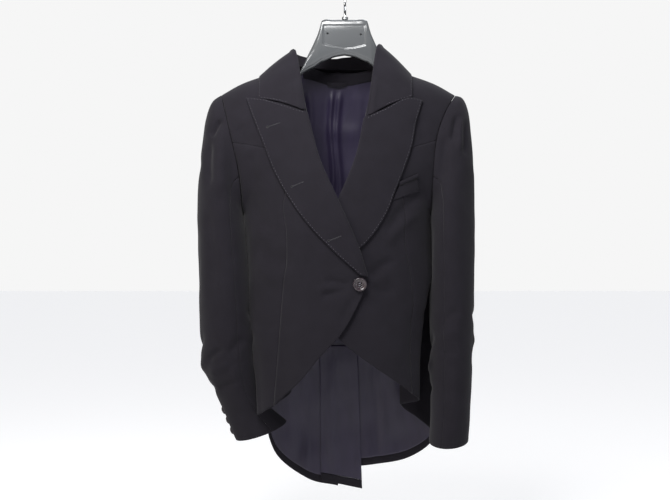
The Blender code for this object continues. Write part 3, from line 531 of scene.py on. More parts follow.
def makeSatin():
    look, tree, shader = newLook("woven acetate satin", {
        "Roughness": satinLook["rough"], "Anisotropic": satinLook["stretch"],
        "Specular IOR Level": satinLook["shine"]})
    uv = addNode(tree, "ShaderNodeUVMap", {"uv_map": "cloth"})
    long = addNode(tree, "ShaderNodeMapping", {"Scale": (100 / satinLook["streak"], 1.2, 1.0)},
                   {"Vector": uv.outputs[0]})
    streaks = addNode(tree, "ShaderNodeTexNoise", {"Scale": 1.0, "Detail": 5.0}, {"Vector": long.outputs[0]})
    colour = mixed(tree, streaks.outputs["Fac"], satinLook["dark"], satinLook["pale"])
    tree.links.new(colour.outputs[2], shader.inputs["Base Color"])
    bump = addNode(tree, "ShaderNodeBump", {"Strength": satinLook["streakHeight"], "Distance": 0.001},
                   {"Height": streaks.outputs["Fac"]})
    tree.links.new(bump.outputs[0], shader.inputs["Normal"])
    return look


# cast polyester buttons, tumbled to a soft polish, with the cloudy grain of horn
resinLook = {"dark": "1c171a", "pale": "3d3339", "cloud": 3.5, "rough": 0.2}


def makeResin():
    look, tree, shader = newLook("polished polyester resin", {"Roughness": resinLook["rough"], "IOR": 1.56})
    place = addNode(tree, "ShaderNodeTexCoord")
    cloud = addNode(tree, "ShaderNodeTexNoise", {"Scale": 1000 / resinLook["cloud"], "Detail": 4.0},
                    {"Vector": place.outputs["Object"]})
    colour = mixed(tree, cloud.outputs["Fac"], resinLook["dark"], resinLook["pale"])
    tree.links.new(colour.outputs[2], shader.inputs["Base Color"])
    return look


def makePlain(name, colour, settings):
    look, tree, shader = newLook(name, settings)
    shader.inputs["Base Color"].default_value = linear(colour)
    return look


wool = makeWool()
satin = makeSatin()
resin = makeResin()
# injection-moulded polystyrene from a polished mould: smooth and glossy, with slightly soft highlights
plastic = makePlain("moulded polystyrene", "494b4d", {"Roughness": 0.17, "IOR": 1.55})
# bright nickel plate on drawn steel wire: a clear mirror, a little softened by the drawing
steel = makePlain("nickel plated wire", "b9bbbd", {"Roughness": 0.18, "Metallic": 1.0})
# spun polyester sewing thread: matt, a shade paler than the cloth, so that the stitches can be seen
thread = makePlain("polyester thread", "615f67", {"Roughness": 0.6})
darkThread = makePlain("dark polyester thread", "242329", {"Roughness": 0.6})
# the inside of a hole, which no light reaches
holeBlack = makePlain("hole", "050506", {"Roughness": 1.0})
print("materials made")


# the coat's panels: rows and columns of each grid
panel = {"frontRows": 130, "frontColumns": 48, "yokeRows": 64, "yokeColumns": 30, "yokeCrowd": 1.3,
         "seamRise": 8.0, "backRows": 200, "backCrowd": 1.2, "neckColumns": 24, "sideColumns": 62}


def woolPanel(name, grid, outward, nodes, thick=form["wall"], edgeRound=0.15):
    return cloth(name, grid, outward, thick, wool, nodes, edgeRound)


def frontLift(side, place):
    if side == left:
        return np.zeros(place.shape[:-1])
    level = place[..., 1]
    x = bodyPoint(side, front, place[..., 0], level)[..., 0]
    across = ease((x - overlap["fromX"]) / (overlap["toX"] - overlap["fromX"]))
    return overlap["lift"] * across * ease((overlap["top"] - level) / overlap["fade"])


def frontSeams(side):
    # the yoke seam's two ends on the front, and where it meets the armhole
    seamRoll = between(rollLine[side], yokeSeam + 1, yokeSeam)[-1]
    seam = frontPlaces(side, [seamRoll, (princess[side][0][0], yokeSeam)])
    return seam, np.array([90.0, yokeSeam + panel["seamRise"]])


def frontPanel(name, node, side, edges, seams):
    place = fill(*edges)
    grid = bodySkin(side, front, place, frontLift(side, place))
    grid = trimmed(draped(grid, (0, -1, 0), seams))
    woolPanel(name + word[side], grid, (0, -1, 0), [node + word[side]])


def makeYoke(side):
    seam, seamEnd = frontSeams(side)
    shoulder = form["shoulder"]
    neckPhi = float(phiAt(side, neckHalfWidth[side], shoulder))
    splitPhi = (neckPhi + 90) / 2
    rows, columns = panel["yokeRows"], panel["yokeColumns"]
    top = np.concatenate([spread([(neckPhi, shoulder), (splitPhi, shoulder)], columns),
                          spread([(splitPhi, shoulder), (90.0, shoulder)], columns)[1:]])
    bottom = np.concatenate([spread(seam, columns), spread([seam[1], seamEnd], columns)[1:]])
    inner = frontPlaces(side, between(rollLine[side], rollLine[side][0][1], yokeSeam))
    inner = spread(np.concatenate([top[:1], inner[1:-1], bottom[:1]]), rows, panel["yokeCrowd"])
    outer = spread([top[-1], bottom[-1]], rows, panel["yokeCrowd"])
    frontPanel("yoke_", "front_yoke_", side, (top, bottom, inner, outer),
               ("first row", "last row", "last column"))


def makeForepart(side):
    seam = frontSeams(side)[0]
    rows, columns = panel["frontRows"], panel["frontColumns"]
    top = spread(seam, columns)
    inner = frontPlaces(side, between(rollLine[side], yokeSeam, rollLine[side][-1][1]))
    inner[0] = seam[0]
    inner = spread(inner, rows)
    bottom = spread(frontPlaces(side, cutaway[side]), columns)
    inner[-1] = bottom[0]
    longSeam = frontPlaces(side, princess[side][1:-1])
    outer = spread(np.concatenate([top[-1:], longSeam, bottom[-1:]]), rows)
    frontPanel("forepart_", "front_", side, (top, bottom, inner, outer), ("first row", "last column"))


def makeSidePanel(side):
    seam, seamEnd = frontSeams(side)
    rows, columns = panel["frontRows"], panel["frontColumns"]
    foot = (90.0, sideHemLevel[side])
    top = spread([seam[1], seamEnd], columns)
    bottom = spread(np.concatenate([frontPlaces(side, sideHem[side]), [foot]]), columns)
    outer = spread([seamEnd, (90.0, form["underarm"]), foot], rows)
    longSeam = frontPlaces(side, princess[side][1:-1])
    inner = spread(np.concatenate([top[:1], longSeam, bottom[:1]]), rows)
    frontPanel("sidePanel_", "side_front_", side, (top, bottom, inner, outer),
               ("first row", "first column", "last column"))


def backPlaces(side):
    neckPhi = float(phiAt(side, neckHalfWidth[side], form["shoulder"]))
    centreRise = (tail["neckHeight"] - form["underarm"]) / (shoulderHeight(0.0) - form["underarm"])
    centreLevel = form["underarm"] + centreRise * (form["shoulder"] - form["underarm"])
    phi = np.concatenate([np.linspace(0, neckPhi, panel["neckColumns"] + 1)[:-1],
                          np.linspace(neckPhi, 90, panel["sideColumns"])])
    topLevel = centreLevel + (form["shoulder"] - centreLevel) * ease(phi / neckPhi)
    hemLevel = through(tail["turn"], tail[side], 180 - phi)
    v = np.linspace(0, 1, panel["backRows"])[:, None] ** panel["backCrowd"]
    level = topLevel[None] + (hemLevel - topLevel)[None] * v
    return np.stack([np.broadcast_to(phi, level.shape), level], axis=-1)


def makeBacks(side):
    place = backPlaces(side)
    grid = bodySkin(side, back, place, np.zeros(place.shape[:2]))
    grid = trimmed(draped(grid, (0, 1, 0), ("first column", "last column")))
    woolPanel("back_piece_" + word[side], grid, (0, 1, 0), ["back_" + word[side]])


def levelRow(grid, levels, wanted):
    # the row of points at the wanted level of each column
    row = []
    for j in range(grid.shape[1]):
        at = np.interp(-wanted[j], -levels[:, j], np.arange(len(levels)))
        low = min(int(at), len(levels) - 2)
        row.append(grid[low, j] + (grid[low + 1, j] - grid[low, j]) * (at - low))
    return np.array(row)


# the lining hangs in loose folds inside the back: x at the top and bottom, width, height inwards
liningFolds = [
    (-23.5, -22, 4.4, 6), (-11.5, -10, 4.6, 5.5), (-52, -62, 15, 2.6), (24, 32, 14, 2.8), (72, 82, 13, 2),
    (-88, -100, 12, 2), (44, 48, 6, 3.5), (62, 68, 7, 3), (-64, -72, 6, 3),
]
# the folds sway a little, begin under the facing, and lie nearly flat behind the vent's strip
liningForm = {
    "top": -140.0, "length": 700.0, "sway": 3.0, "swayTurns": 23.0, "begin": -166.0, "beginOver": 26.0,
    "flatHalf": 46.0, "flatFrom": -560.0, "flatOver": 60.0, "flatShare": 0.93,
    "tuck": 4.0, "rows": 190, "wall": 0.6, "facingOut": 0.7, "facingTop": 1.0, "facingRows": 10,
    "facingColumns": 20,
}


def liningBulge(grid):
    own = liningForm
    share = np.clip((grid[..., 2] - own["top"]) / -own["length"], 0, 1)
    depth = np.zeros(grid.shape[:2])
    for x0, x1, width, height in liningFolds:
        centre = x0 + (x1 - x0) * share + own["sway"] * np.sin(share * own["swayTurns"] + x0)
        depth += height * np.exp(-((grid[..., 0] - centre) / width) ** 2)
    flat = np.exp(-((grid[..., 0] - form["middleX"]) / own["flatHalf"]) ** 4)
    flat = flat * ease((own["flatFrom"] - grid[..., 2]) / own["flatOver"])
    return depth * ease((own["begin"] - grid[..., 2]) / own["beginOver"]) * (1 - own["flatShare"] * flat)


def insideOf(side):
    # one side of the back: its points, its normals, its levels, and how deep inside it the lining lies
    place = backPlaces(side)
    skin = bodySkin(side, back, place, np.zeros(place.shape[:2]))
    normals = bodyNormal(side, back, place[..., 0], place[..., 1])
    return skin, normals, place[..., 1], creaseDepth(skin, normals) - form["liningDepth"]


def bothHalves(halves):
    # joins the right and the left half at the middle of the back
    return trimmed(np.concatenate([halves[right][:, :0:-1], halves[left]], axis=1))


def makeLining():
    # its top is tucked behind the facing, and it ends above the hem
    halves = {}
    for side in (right, left):
        skin, normals, levels, depth = insideOf(side)
        grid = skin + normals * (depth - liningBulge(skin))[..., None]
        top = levels[0] - tail["facingHeight"] + liningForm["tuck"]
        low = levels[-1] + tail["hemBand"]
        shares = np.linspace(0, 1, liningForm["rows"] + 1)
        rows = [levelRow(grid, levels, top * (1 - share) + low * share) for share in shares]
        halves[side] = np.array(rows)[:, :int(tail["liningReach"][side] * grid.shape[1])]
    cloth("lining", bothHalves(halves), (0, 1, 0), liningForm["wall"], satin,
          ["back_lining"])


def makeFacing():
    halves = {}
    for side in (right, left):
        skin, normals, levels, depth = insideOf(side)
        grid = skin + normals * (depth - liningForm["facingOut"])[..., None]
        first = levelRow(grid, levels, levels[0] - liningForm["facingTop"])
        last = levelRow(grid, levels, levels[0] - tail["facingHeight"])
        shares = np.linspace(0, 1, liningForm["facingRows"])
        rows = [first + (last - first) * share for share in shares]
        halves[side] = np.array(rows)[:, :liningForm["facingColumns"]]
    woolPanel("facing", bothHalves(halves), (0, 1, 0), ["neck_facing"], form["liningWall"])


# the strip that lies over the vent: its corners in the front view
ventForm = {
    "top": [(-46, -628), (24, -628)], "bottom": [(-44, -872), (31, -886)], "columns": 30, "rows": 100,
    "gap": 0.3, "hemShare": 0.945, "wall": 0.7, "hemWall": 1.0,
}


def makeVentStrip():
    top, bottom = ventForm["top"], ventForm["bottom"]
    depth = form["liningDepth"] + form["liningWall"] + form["seamGap"] + ventForm["gap"]
    flat = fill(spread(top, ventForm["columns"]), spread(bottom, ventForm["columns"]),
                spread([top[0], bottom[0]], ventForm["rows"]), spread([top[1], bottom[1]], ventForm["rows"]))
    grid = np.empty(flat.shape[:2] + (3,))
    for side in (right, left):
        own = flat[..., 0] < form["middleX"] if side == right else flat[..., 0] >= form["middleX"]
        place = placeOf(side, flat[..., 0][own], flat[..., 1][own])
        skin = bodySkin(side, back, place, np.zeros(len(place)))
        normals = bodyNormal(side, back, place[..., 0], place[..., 1])
        follow = creaseDepth(skin, normals) - depth - liningBulge(skin[None])[0]
        grid[own] = skin + normals * follow[..., None]
    hemRow = int(len(grid) * ventForm["hemShare"])
    cloth("vent", trimmed(grid[:hemRow]), (0, 1, 0), ventForm["wall"], satin, ["vent_strip"])
    woolPanel("ventHem", trimmed(grid[hemRow - 1:]), (0, 1, 0), [], ventForm["hemWall"])


# sleeves: outer and inner point of each ring seen from the front, half depth and centre y
sleeveForm = {
    right: {
        "outerX": [-215, -231, -242, -248, -254, -257, -257, -254, -252, -248, -230, -210, -191],
        "outerZ": [-190, -202, -230, -265, -309, -370, -457, -545, -615, -659, -699, -741, -788],
        "innerX": [-177, -177.6, -177.4, -176.6, -175.8, -173.6, -168.8, -163.2, -157.5, -152.5, -147, -129,
                   -103],
        "innerZ": [-391, -394, -398, -404, -412, -430, -478, -550, -624, -671, -711, -736, -758],
        "depth": [46, 50, 53, 55, 57, 57, 56, 54, 52, 48, 40, 27, 24],
        "centreY": [0, 0, 0, 0, 0, 0, 0, 0, 0, 1, 1.6, 2.4, 3.4],
    },
    left: {
        "outerX": [192, 205, 214, 220, 224, 226, 226, 225, 224, 222, 220, 217, 214],
        "outerZ": [-190, -195, -216, -256, -309, -360, -440, -500, -560, -620, -680, -735, -786],
        "innerX": [149, 149.4, 149.4, 149.2, 149, 148.8, 148.2, 147.6, 148.6, 149.2, 149.2, 149.8, 147],
        "innerZ": [-391, -394, -398, -404, -412, -424, -462, -510, -565, -623, -683, -738, -792],
        "depth": [46, 50, 54, 57, 59, 60, 60, 59, 57, 54, 51, 48, 45],
        "centreY": [0, 0, 0, 0, 0, 0, -1, -2, -4, -6, -8, -9, -10],
    },
}
sleeveCut = {"frontSeam": 62.0, "backSeam": 290.0, "rings": 200, "armholeReach": 4.0, "fit": 0.8,
             "cuffTilt": 8.0, "cuffTiltReach": 3.0, "upperColumns": 110, "underColumns": 64, "gap": 0.5}


def sleeveRings(side, turns):
    # turns run round the arm: 0 at the inner line, 90 at the front, 180 at the outer line
    table = sleeveForm[side]
    station = np.arange(len(table["depth"]))
    at = np.linspace(0, station[-1], sleeveCut["rings"])
    read = {key: through(station, table[key], at) for key in table}
    level = form["underarm"] + (1 - np.cos(np.radians(turns))) / 2 * (form["shoulder"] - form["underarm"])
    armhole = np.array([bodyPoint(side, front if t <= 180 else back, np.float64(90.0), lev)
                        for t, lev in zip(turns, level)])
    armhole[:, 0] += side * sleeveCut["fit"]
    outer = np.stack([read["outerX"], read["centreY"], read["outerZ"]], axis=1)[:, None]
    inner = np.stack([read["innerX"], read["centreY"], read["innerZ"]], axis=1)[:, None]
    cos = np.cos(np.radians(turns))[None, :, None]
    sin = np.sin(np.radians(turns))[None, :, None]
    forward = np.stack([np.zeros_like(at), -read["depth"], np.zeros_like(at)], axis=1)[:, None]
    tiltReach = sleeveCut["cuffTiltReach"]
    forward[:, 0, 2] = -sleeveCut["cuffTilt"] * ease((at - at[-1] + tiltReach) / tiltReach)
    rings = (outer + inner) / 2 - cos * (outer - inner) / 2 + sin * forward
    fade = np.clip(1 - at / sleeveCut["armholeReach"], 0, 1) ** 2
    return rings + (armhole - rings[0])[None] * fade[:, None, None]


def makeSleeve(side):
    seams = sleeveCut["frontSeam"], sleeveCut["backSeam"]
    for name, first, last, columns, way in (
            ("upper", seams[0], seams[1], sleeveCut["upperColumns"], side),
            ("under", seams[1] - 360, seams[0], sleeveCut["underColumns"], -side)):
        rings = sleeveRings(side, np.linspace(first, last, columns) % 360)
        grid = draped(rings, (way, 0, 0), ("first column", "last column", "first row"))
        grid = trimmed(grid, sleeveCut["gap"])
        woolPanel(name + "Sleeve_" + word[side], grid, (way, 0, 0), [name + "_sleeve_" + word[side]])


# lapels
lapelForm = {"rows": 190, "columns": 40, "roll": 2.2, "rollWidth": 16.0, "curl": 12, "curlReach": 2.6,
             "fullWidth": 30.0, "out": 1.7, "outOver": 0.3}


def lapelPlaces(side):
    rows, columns = lapelForm["rows"], lapelForm["columns"]
    inner = spread(between(rollLine[side], gorge[side][0][1], rollLine[side][-1][1] + 2), rows)
    outer = spread(lapelEdge[side], rows)
    top = spread([tuple(inner[0])] + gorge[side][1:-1] + [tuple(outer[0])], columns)
    flat = fill(top, spread([inner[-1], outer[-1]], columns), inner, outer)
    return placeOf(side, flat[..., 0], flat[..., 1]), flat


def makeLapel(side):
    place, flat = lapelPlaces(side)
    u = np.linspace(0, 1, lapelForm["columns"])[None, :]
    fromRoll = np.linalg.norm(flat - flat[:, :1], axis=-1)
    room = np.linalg.norm(flat[:, -1] - flat[:, 0], axis=-1) / lapelForm["fullWidth"]
    room = np.clip(room, 0, 1)[:, None]
    rolled = lapelForm["roll"] * room * np.exp(-(fromRoll / lapelForm["rollWidth"]) ** 2)
    lift = frontLift(side, place)
    out = lift + layer + lapelForm["out"] * ease(u / lapelForm["outOver"]) + rolled
    skin = bodySkin(side, front, place, np.zeros(out.shape))
    normals = bodyNormal(side, front, place[..., 0], place[..., 1])
    crease = creaseDepth(skin, normals)
    grid = skin + normals * (out + crease)[..., None]
    # the fold at the roll line is a half turn down to the front's own cloth
    foot = (skin + normals * (lift + crease)[..., None])[:, 0]
    centre = (grid[:, 0] + foot) / 2
    upward = grid[:, 0] - centre
    away = grid[:, 0] - grid[:, 1]
    away /= np.linalg.norm(away, axis=1, keepdims=True)
    curl = []
    for turn in np.linspace(math.pi, 0, lapelForm["curl"])[:-1]:
        curl.append(centre + upward * math.cos(turn) + away * lapelForm["curlReach"] * math.sin(turn))
    grid = np.concatenate([np.stack(curl, axis=1), grid], axis=1)
    woolPanel("lapelPiece_" + word[side], trimmed(grid), (0, -1, 0), ["lapel_" + word[side]],
              form["lapelWall"])
    return grid[:, lapelForm["curl"] - 1:]


# collar, by station from the back middle to the gorge: its fold line, its base and its outer edge
collarForm = {
    "foldD": [0, 25, 47, 66, 79, 72, 67, 63, 58, 52],
    "foldY": [52, 49, 40, 24, 1, -22, -37, -50, -61, -72],
    "foldZ": [-117, -116, -114, -111, -107, -108, -127, -152, -187, -227],
    "tilt": [0, 0.4, 0.8, 1, 1, 1, 0.8, 0.3, -0.4, -1.1],
    "baseD": [0, 24, 46, 65, 77, 74, 68, 62, 56, 49],
    "baseY": [47, 43, 34, 18, 0.5, -16, -31, -44, -54, -64],
    "baseZ": [-135, -135, -134, -133, -131, -133, -148, -168, -197, -231],
    "spread": [0, 0.3, 0.6, 0.85, 1, 0.9, 0.6, 0.3, 0.1, 0],
    "edgeD": [0, 40, 76, 108, 127, 131, 131, 131, 131, 131],
    "edgeW": [0.765, 0.81, 0.87, 0.945, 1.0, 0.975, 0.94, 0.905, 0.865, 0.817],
}
collarSize = {
    "middle": -15.0, "tilt": 4.5, "edgeShift": 5.0, "stations": 220, "across": 60, "foldRound": 1.6,
    "backStations": 4, "above": 0.8, "topGap": 0.5, "neckHalf": 80.0, "bulge": 3.0, "puff": 1.5,
    "gorgePuff": 2.5, "gorgeFrom": 5, "gorgeOver": 2,
    "stand": (0, 0.35, 0.7, 0.9), "fall": (0.08, 0.2, 0.35, 0.5, 0.65, 0.8, 0.92, 1),
}


def overBody(side, half, point):
    # moves a point of the collar out of the body below it
    if point[2] > shoulderHeight(abs(point[0] - form["middleX"])) - collarSize["topGap"]:
        return point
    skin = bodySkin(side, half, placeOf(side, point[0], point[2]), layer + collarSize["above"])
    if half * (point[1] - skin[1]) < 0:
        point = np.array([point[0], skin[1], point[2]])
    return point


def makeCollar():
    count = len(collarForm["foldD"])
    station = np.arange(count)
    at = np.linspace(1 - count, count - 1, collarSize["stations"])
    read = {key: through(station, collarForm[key], np.abs(at)) for key in collarForm}
    rows = []
    for k, s in enumerate(at):
        side = right if s < 0 else left
        half = back if abs(s) <= collarSize["backStations"] else front
        tilt = collarSize["tilt"] * side * read["tilt"][k]
        level = form["underarm"] + min(read["edgeW"][k], 0.9999) * (form["shoulder"] - form["underarm"])
        reach = read["edgeD"][k] - side * collarSize["edgeShift"] * ease(abs(s) / collarSize["backStations"])
        edge = bodySkin(side, half, (phiAt(side, reach, level), level), layer + collarSize["above"])
        fold = np.array([collarSize["middle"] + side * read["foldD"][k], read["foldY"][k],
                         read["foldZ"][k] + tilt])
        wider = (neckHalfWidth[side] - collarSize["neckHalf"]) * read["spread"][k]
        base = np.array([collarSize["middle"] + side * (read["baseD"][k] + wider), read["baseY"][k],
                         read["baseZ"][k] - wider / 3])
        path = [base + (fold - base) * t for t in collarSize["stand"]]
        path.append(fold + np.array([0, 0, collarSize["foldRound"]]))
        toGorge = ease((abs(s) - collarSize["gorgeFrom"]) / collarSize["gorgeOver"])
        up = collarSize["puff"] + collarSize["gorgePuff"] * toGorge
        for t in collarSize["fall"]:
            bulge = np.array([0, half * collarSize["bulge"], up]) * math.sin(math.pi * t)
            path.append(overBody(side, half, fold + (edge - fold) * t + bulge))
        rows.append(spread(path, collarSize["across"]))
    grid = np.array(rows)
    woolPanel("collar", trimmed(grid), (0, 0, 1), ["collar_fall", "collar_stand"],
              form["lapelWall"])
    return grid


for side in (right, left):
    makeYoke(side)
    makeForepart(side)
    makeSidePanel(side)
    makeBacks(side)
    makeSleeve(side)
makeLining()
makeFacing()
makeVentStrip()
lapelGrids = {side: makeLapel(side) for side in (right, left)}
collarGrid = makeCollar()
print("cloth made")


# small parts
def frameAt(facing):
    facing = np.asarray(facing, float) / np.linalg.norm(facing)
    helper = np.array([0, 0, 1.0]) if abs(facing[2]) < 0.9 else np.array([1.0, 0, 0])
    across = np.cross(helper, facing)
    across /= np.linalg.norm(across)
    return across, np.cross(facing, across), facing


def circle(centre, across, upward, radius, count):
    turns = np.linspace(0, 2 * math.pi, count, endpoint=False)
    return [centre + radius * (across * math.cos(t) + upward * math.sin(t)) for t in turns]


def loft(rings):
    # vertices and faces of a skin over closed rings of points, with a cap at each end
    rings = np.asarray(rings, float)
    count, around = rings.shape[:2]
    faces = []
    for i in range(count - 1):
        for j in range(around):
            k = (j + 1) % around
            faces.append((i * around + j, (i + 1) * around + j, (i + 1) * around + k, i * around + k))
    faces.append(tuple(range(around)))
    faces.append(tuple(reversed(range((count - 1) * around, count * around))))
    return rings.reshape(-1, 3), faces


def tube(path, radius, around=8):
    path = np.asarray(path, float)
    slope = np.gradient(path, axis=0)
    slope /= np.maximum(np.linalg.norm(slope, axis=1, keepdims=True), 1e-9)
    across = frameAt(slope[0])[0]
    rings = []
    for place, way in zip(path, slope):
        across = across - way * np.dot(across, way)
        across /= np.linalg.norm(across)
        rings.append(circle(place, across, np.cross(way, across), radius, around))
    return loft(rings)


def joined(parts):
    vertices = []
    faces = []
    start = 0
    for points, polygons in parts:
        vertices.append(points)
        faces += [tuple(v + start for v in face) for face in polygons]
        start += len(points)
    return np.concatenate(vertices), faces


def solid(name, skin):
    # makes an object of a loft or tube, with all its faces looking out
    made = addMesh(name, *skin)
    work = bmesh.new()
    work.from_mesh(made.data)
    bmesh.ops.recalc_face_normals(work, faces=work.faces)
    work.to_mesh(made.data)
    work.free()
    return made


def cutOut(made, cutter):
    cut = made.modifiers.new("hole", "BOOLEAN")
    cut.operation = "DIFFERENCE"
    cut.solver = "EXACT"
    cut.object = cutter
    bpy.context.view_layer.objects.active = made
    bpy.ops.object.modifier_apply(modifier=cut.name)
    bpy.data.objects.remove(cutter)


def bead(centre, along, outward, length, width, height):
    # one stitch lying on the cloth
    along = along / np.linalg.norm(along)
    outward = outward / np.linalg.norm(outward)
    across = np.cross(along, outward)
    rings = []
    for share, size in pick["profile"]:
        turns = np.linspace(0, 2 * math.pi, 6, endpoint=False)
        rings.append([centre + along * share * length + across * width / 2 * size * math.cos(t)
                      + outward * height * size * math.sin(t) for t in turns])
    return loft(rings)


# hand-look pick stitches run just inside the edges of the lapels and the collar
pick = {"pitch": 5.6, "length": 1.0, "width": 0.8, "height": 0.35, "inset": 2.6, "sunk": 0.05,
        "collarFrom": 26, "collarShare": 0.27,
        "profile": ((-0.5, 0.25), (-0.32, 0.85), (0, 1), (0.32, 0.85), (0.5, 0.25))}


def pointsAlong(line, pitch):
    along = np.concatenate([[0], np.cumsum(np.linalg.norm(np.diff(line, axis=0), axis=1))])
    at = np.arange(pitch, along[-1] - pitch / 2, pitch)
    return np.stack([np.interp(at, along, line[:, k]) for k in range(3)], axis=1)


def edgeStitches(grid, outward, edges, thick):
    # stitches a set distance in from the named edges of a grid
    normals = normalsOf(grid, outward)
    parts = []
    for edge in edges:
        away = distanceFrom(grid, edge)
        axis = 0 if "row" in edge else 1
        line = []
        lean = []
        for k in range(grid.shape[1 - axis]):
            own = np.take(away, k, axis=1 - axis)
            order = np.argsort(own)
            column = np.take(grid, k, axis=1 - axis)[order]
            face = np.take(normals, k, axis=1 - axis)[order]
            line.append([np.interp(pick["inset"], own[order], column[:, c]) for c in range(3)])
            lean.append([np.interp(pick["inset"], own[order], face[:, c]) for c in range(3)])
        line = np.array(line)
        places = pointsAlong(line, pick["pitch"])
        nearest = np.argmin(np.linalg.norm(places[:, None] - line[None], axis=-1), axis=1)
        way = np.gradient(line, axis=0)[nearest]
        lean = np.array(lean)[nearest]
        for place, along, out in zip(places, way, lean):
            parts.append(bead(place + out * (thick / 2 - pick["sunk"]), along, out, pick["length"],
                              pick["width"], pick["height"]))
    return parts


def makePickStitches():
    parts = []
    for side in (right, left):
        parts += edgeStitches(lapelGrids[side], (0, -1, 0), ("last column", "first row"), form["lapelWall"])
    # on the collar they run along the fall's edge in front of the shoulders, and along its ends
    fall = collarGrid[:, pick["collarFrom"]:]
    rows = int(collarSize["stations"] * pick["collarShare"])
    for part, end in ((fall[:rows], "first row"), (fall[-rows:], "last row")):
        parts += edgeStitches(part, (0, -1, 0), ("last column", end), form["lapelWall"])
    show(solid("pickStitches", joined(parts)), thread)


# buttonholes worked on the wearer's right lapel: each one's round eye and its far end in the front view
buttonhole = {"eye": [(-132, -249), (-90, -351), (-28, -442)],
              "end": [(-110, -242), (-70, -343), (-7, -434)],
              "eyeRadius": 1.7, "gap": 0.5, "cord": 0.34, "lift": 0.15, "open": 30, "reach": 1.5,
              "holeOut": ((1.0, -0.3), (1.0, 0.12), (0.7, 0.14))}


def onLapel(side, x, z, extra):
    # a point on the lapel's face under that place of the front view
    grid = lapelGrids[side]
    flat = grid[..., [0, 2]].reshape(-1, 2)
    nearest = np.argsort(np.linalg.norm(flat - (x, z), axis=1))[:4]
    weight = 1 / (np.linalg.norm(flat[nearest] - (x, z), axis=1) + 0.05)
    y = np.sum(grid[..., 1].reshape(-1)[nearest] * weight) / weight.sum()
    return np.array([x, y - form["lapelWall"] / 2 - extra, z])


def makeButtonholes():
    parts = []
    holes = []
    for eye, end in zip(buttonhole["eye"], buttonhole["end"]):
        eye, end = np.array(eye, float), np.array(end, float)
        way = (end - eye) / np.linalg.norm(end - eye)
        aside = np.array([-way[1], way[0]])
        radius = buttonhole["eyeRadius"]
        path = []
        for t in np.radians(np.linspace(buttonhole["open"], 360 - buttonhole["open"], 22)):
            path.append(eye + radius * (way * math.cos(t) + aside * math.sin(t)))
        foot = eye + way * radius * buttonhole["reach"]
        gap = aside * buttonhole["gap"]
        upper = [foot + gap + (end - foot) * t for t in np.linspace(1, 0, 14)]
        lower = [foot - gap + (end - foot) * t for t in np.linspace(0, 1, 14)]
        line = [onLapel(right, x, z, buttonhole["lift"]) for x, z in upper + path + lower]
        parts.append(tube(line, buttonhole["cord"], 6))
        # each eye is a small dished disc painted black for the shade inside the hole
        rings = []
        for share, out in buttonhole["holeOut"]:
            rim = circle(eye, np.array([1.0, 0]), np.array([0, 1.0]), radius * share, 18)
            rings.append([onLapel(right, x, z, out) for x, z in rim])
        holes.append(loft(rings))
    show(solid("lapelButtonholes", joined(parts)), darkThread)
    show(solid("buttonholeEyeShade", joined(holes)), holeBlack)


# breast pocket
pocket = {"top": [(92, -345), (121, -334)], "bottom": [(78, -374), (126, -357)], "out": 1.7,
          "lip": [(90, -342), (123, -327)], "mouth": 6.0, "mouthTilt": 0.25, "lipOut": 0.9,
          "lipRound": 0.4, "slitDown": 0.9, "slitOut": 0.45, "slit": 0.7}


def pocketLine(drop, out, count):
    # a line along the welt's mouth, so far below its lip and so far out from the cloth
    way = np.array([pocket["mouthTilt"], -1.0]) * drop
    place = frontPlaces(left, spread([np.array(end) + way for end in pocket["lip"]], count))
    return bodySkin(left, front, place, np.full(count, out))


def makePocket():
    columns, rows = 26, 18
    top = spread(pocket["top"], columns)
    bottom = spread(pocket["bottom"], columns)
    flat = fill(top, bottom, spread([top[0], bottom[0]], rows), spread([top[-1], bottom[-1]], rows))
    place = placeOf(left, flat[..., 0], flat[..., 1])
    skin = bodySkin(left, front, place, np.zeros(place.shape[:2]))
    normals = bodyNormal(left, front, place[..., 0], place[..., 1])
    out = creaseDepth(skin, normals) + pocket["out"]
    grid = skin + normals * out[..., None]
    woolPanel("welt", grid, (0, -1, 0), ["breast_pocket_welt"], form["liningWall"])
    # its folded mouth stands a little off the cloth, over a black tube in the slit that is painted shadow
    # under the mouth
    rows = []
    for share in np.linspace(0, 1, 9):
        lift = pocket["lipOut"] * (1 + math.sin(math.pi * share))
        rows.append(pocketLine(pocket["mouth"] * share, pocket["out"] + lift, 30))
    woolPanel("weltMouth", np.array(rows), (0, -1, 0), [], form["liningWall"],
              pocket["lipRound"])
    line = pocketLine(pocket["mouth"] + pocket["slitDown"], pocket["out"] + pocket["slitOut"], 24)
    show(solid("pocketSlitShadow", tube(line, pocket["slit"], 8)), holeBlack)


# buttons
buttonForm = {
    "place": (23.0, -515.0), "radius": 11.5, "thick": 4.0, "hole": 1.2, "holeSpacing": 3.0,
    "above": 0.2, "cuffRadius": 7.5, "cuffThick": 3.0, "cuffHoleSpacing": 1.8, "cuffButtons": 3,
    # radius and height as shares: the foot, the round rim and the dished face
    "profile": [(0.86, 0.0), (0.97, 0.16), (1.0, 0.35), (1.0, 0.7), (0.985, 0.88), (0.94, 0.98), (0.88, 1.0),
                (0.82, 0.97), (0.76, 0.86), (0.70, 0.66), (0.64, 0.53), (0.56, 0.48)],
}


def turned(centre, facing, radius, thick, around):
    across, upward, out = frameAt(facing)
    return loft([circle(centre + out * thick * height, across, upward, radius * share, around)
                 for share, height in buttonForm["profile"]])


def drill(made, centre, facing, radius, spacing, thick):
    across, upward, out = frameAt(facing)
    for k in range(4):
        turn = math.radians(45 + 90 * k)
        place = centre + spacing * (across * math.cos(turn) + upward * math.sin(turn))
        path = [place + out * thick * height for height in (-0.6, 0.2, 0.8, 1.6)]
        cutOut(made, solid("holeCut", tube(path, radius, 18)))


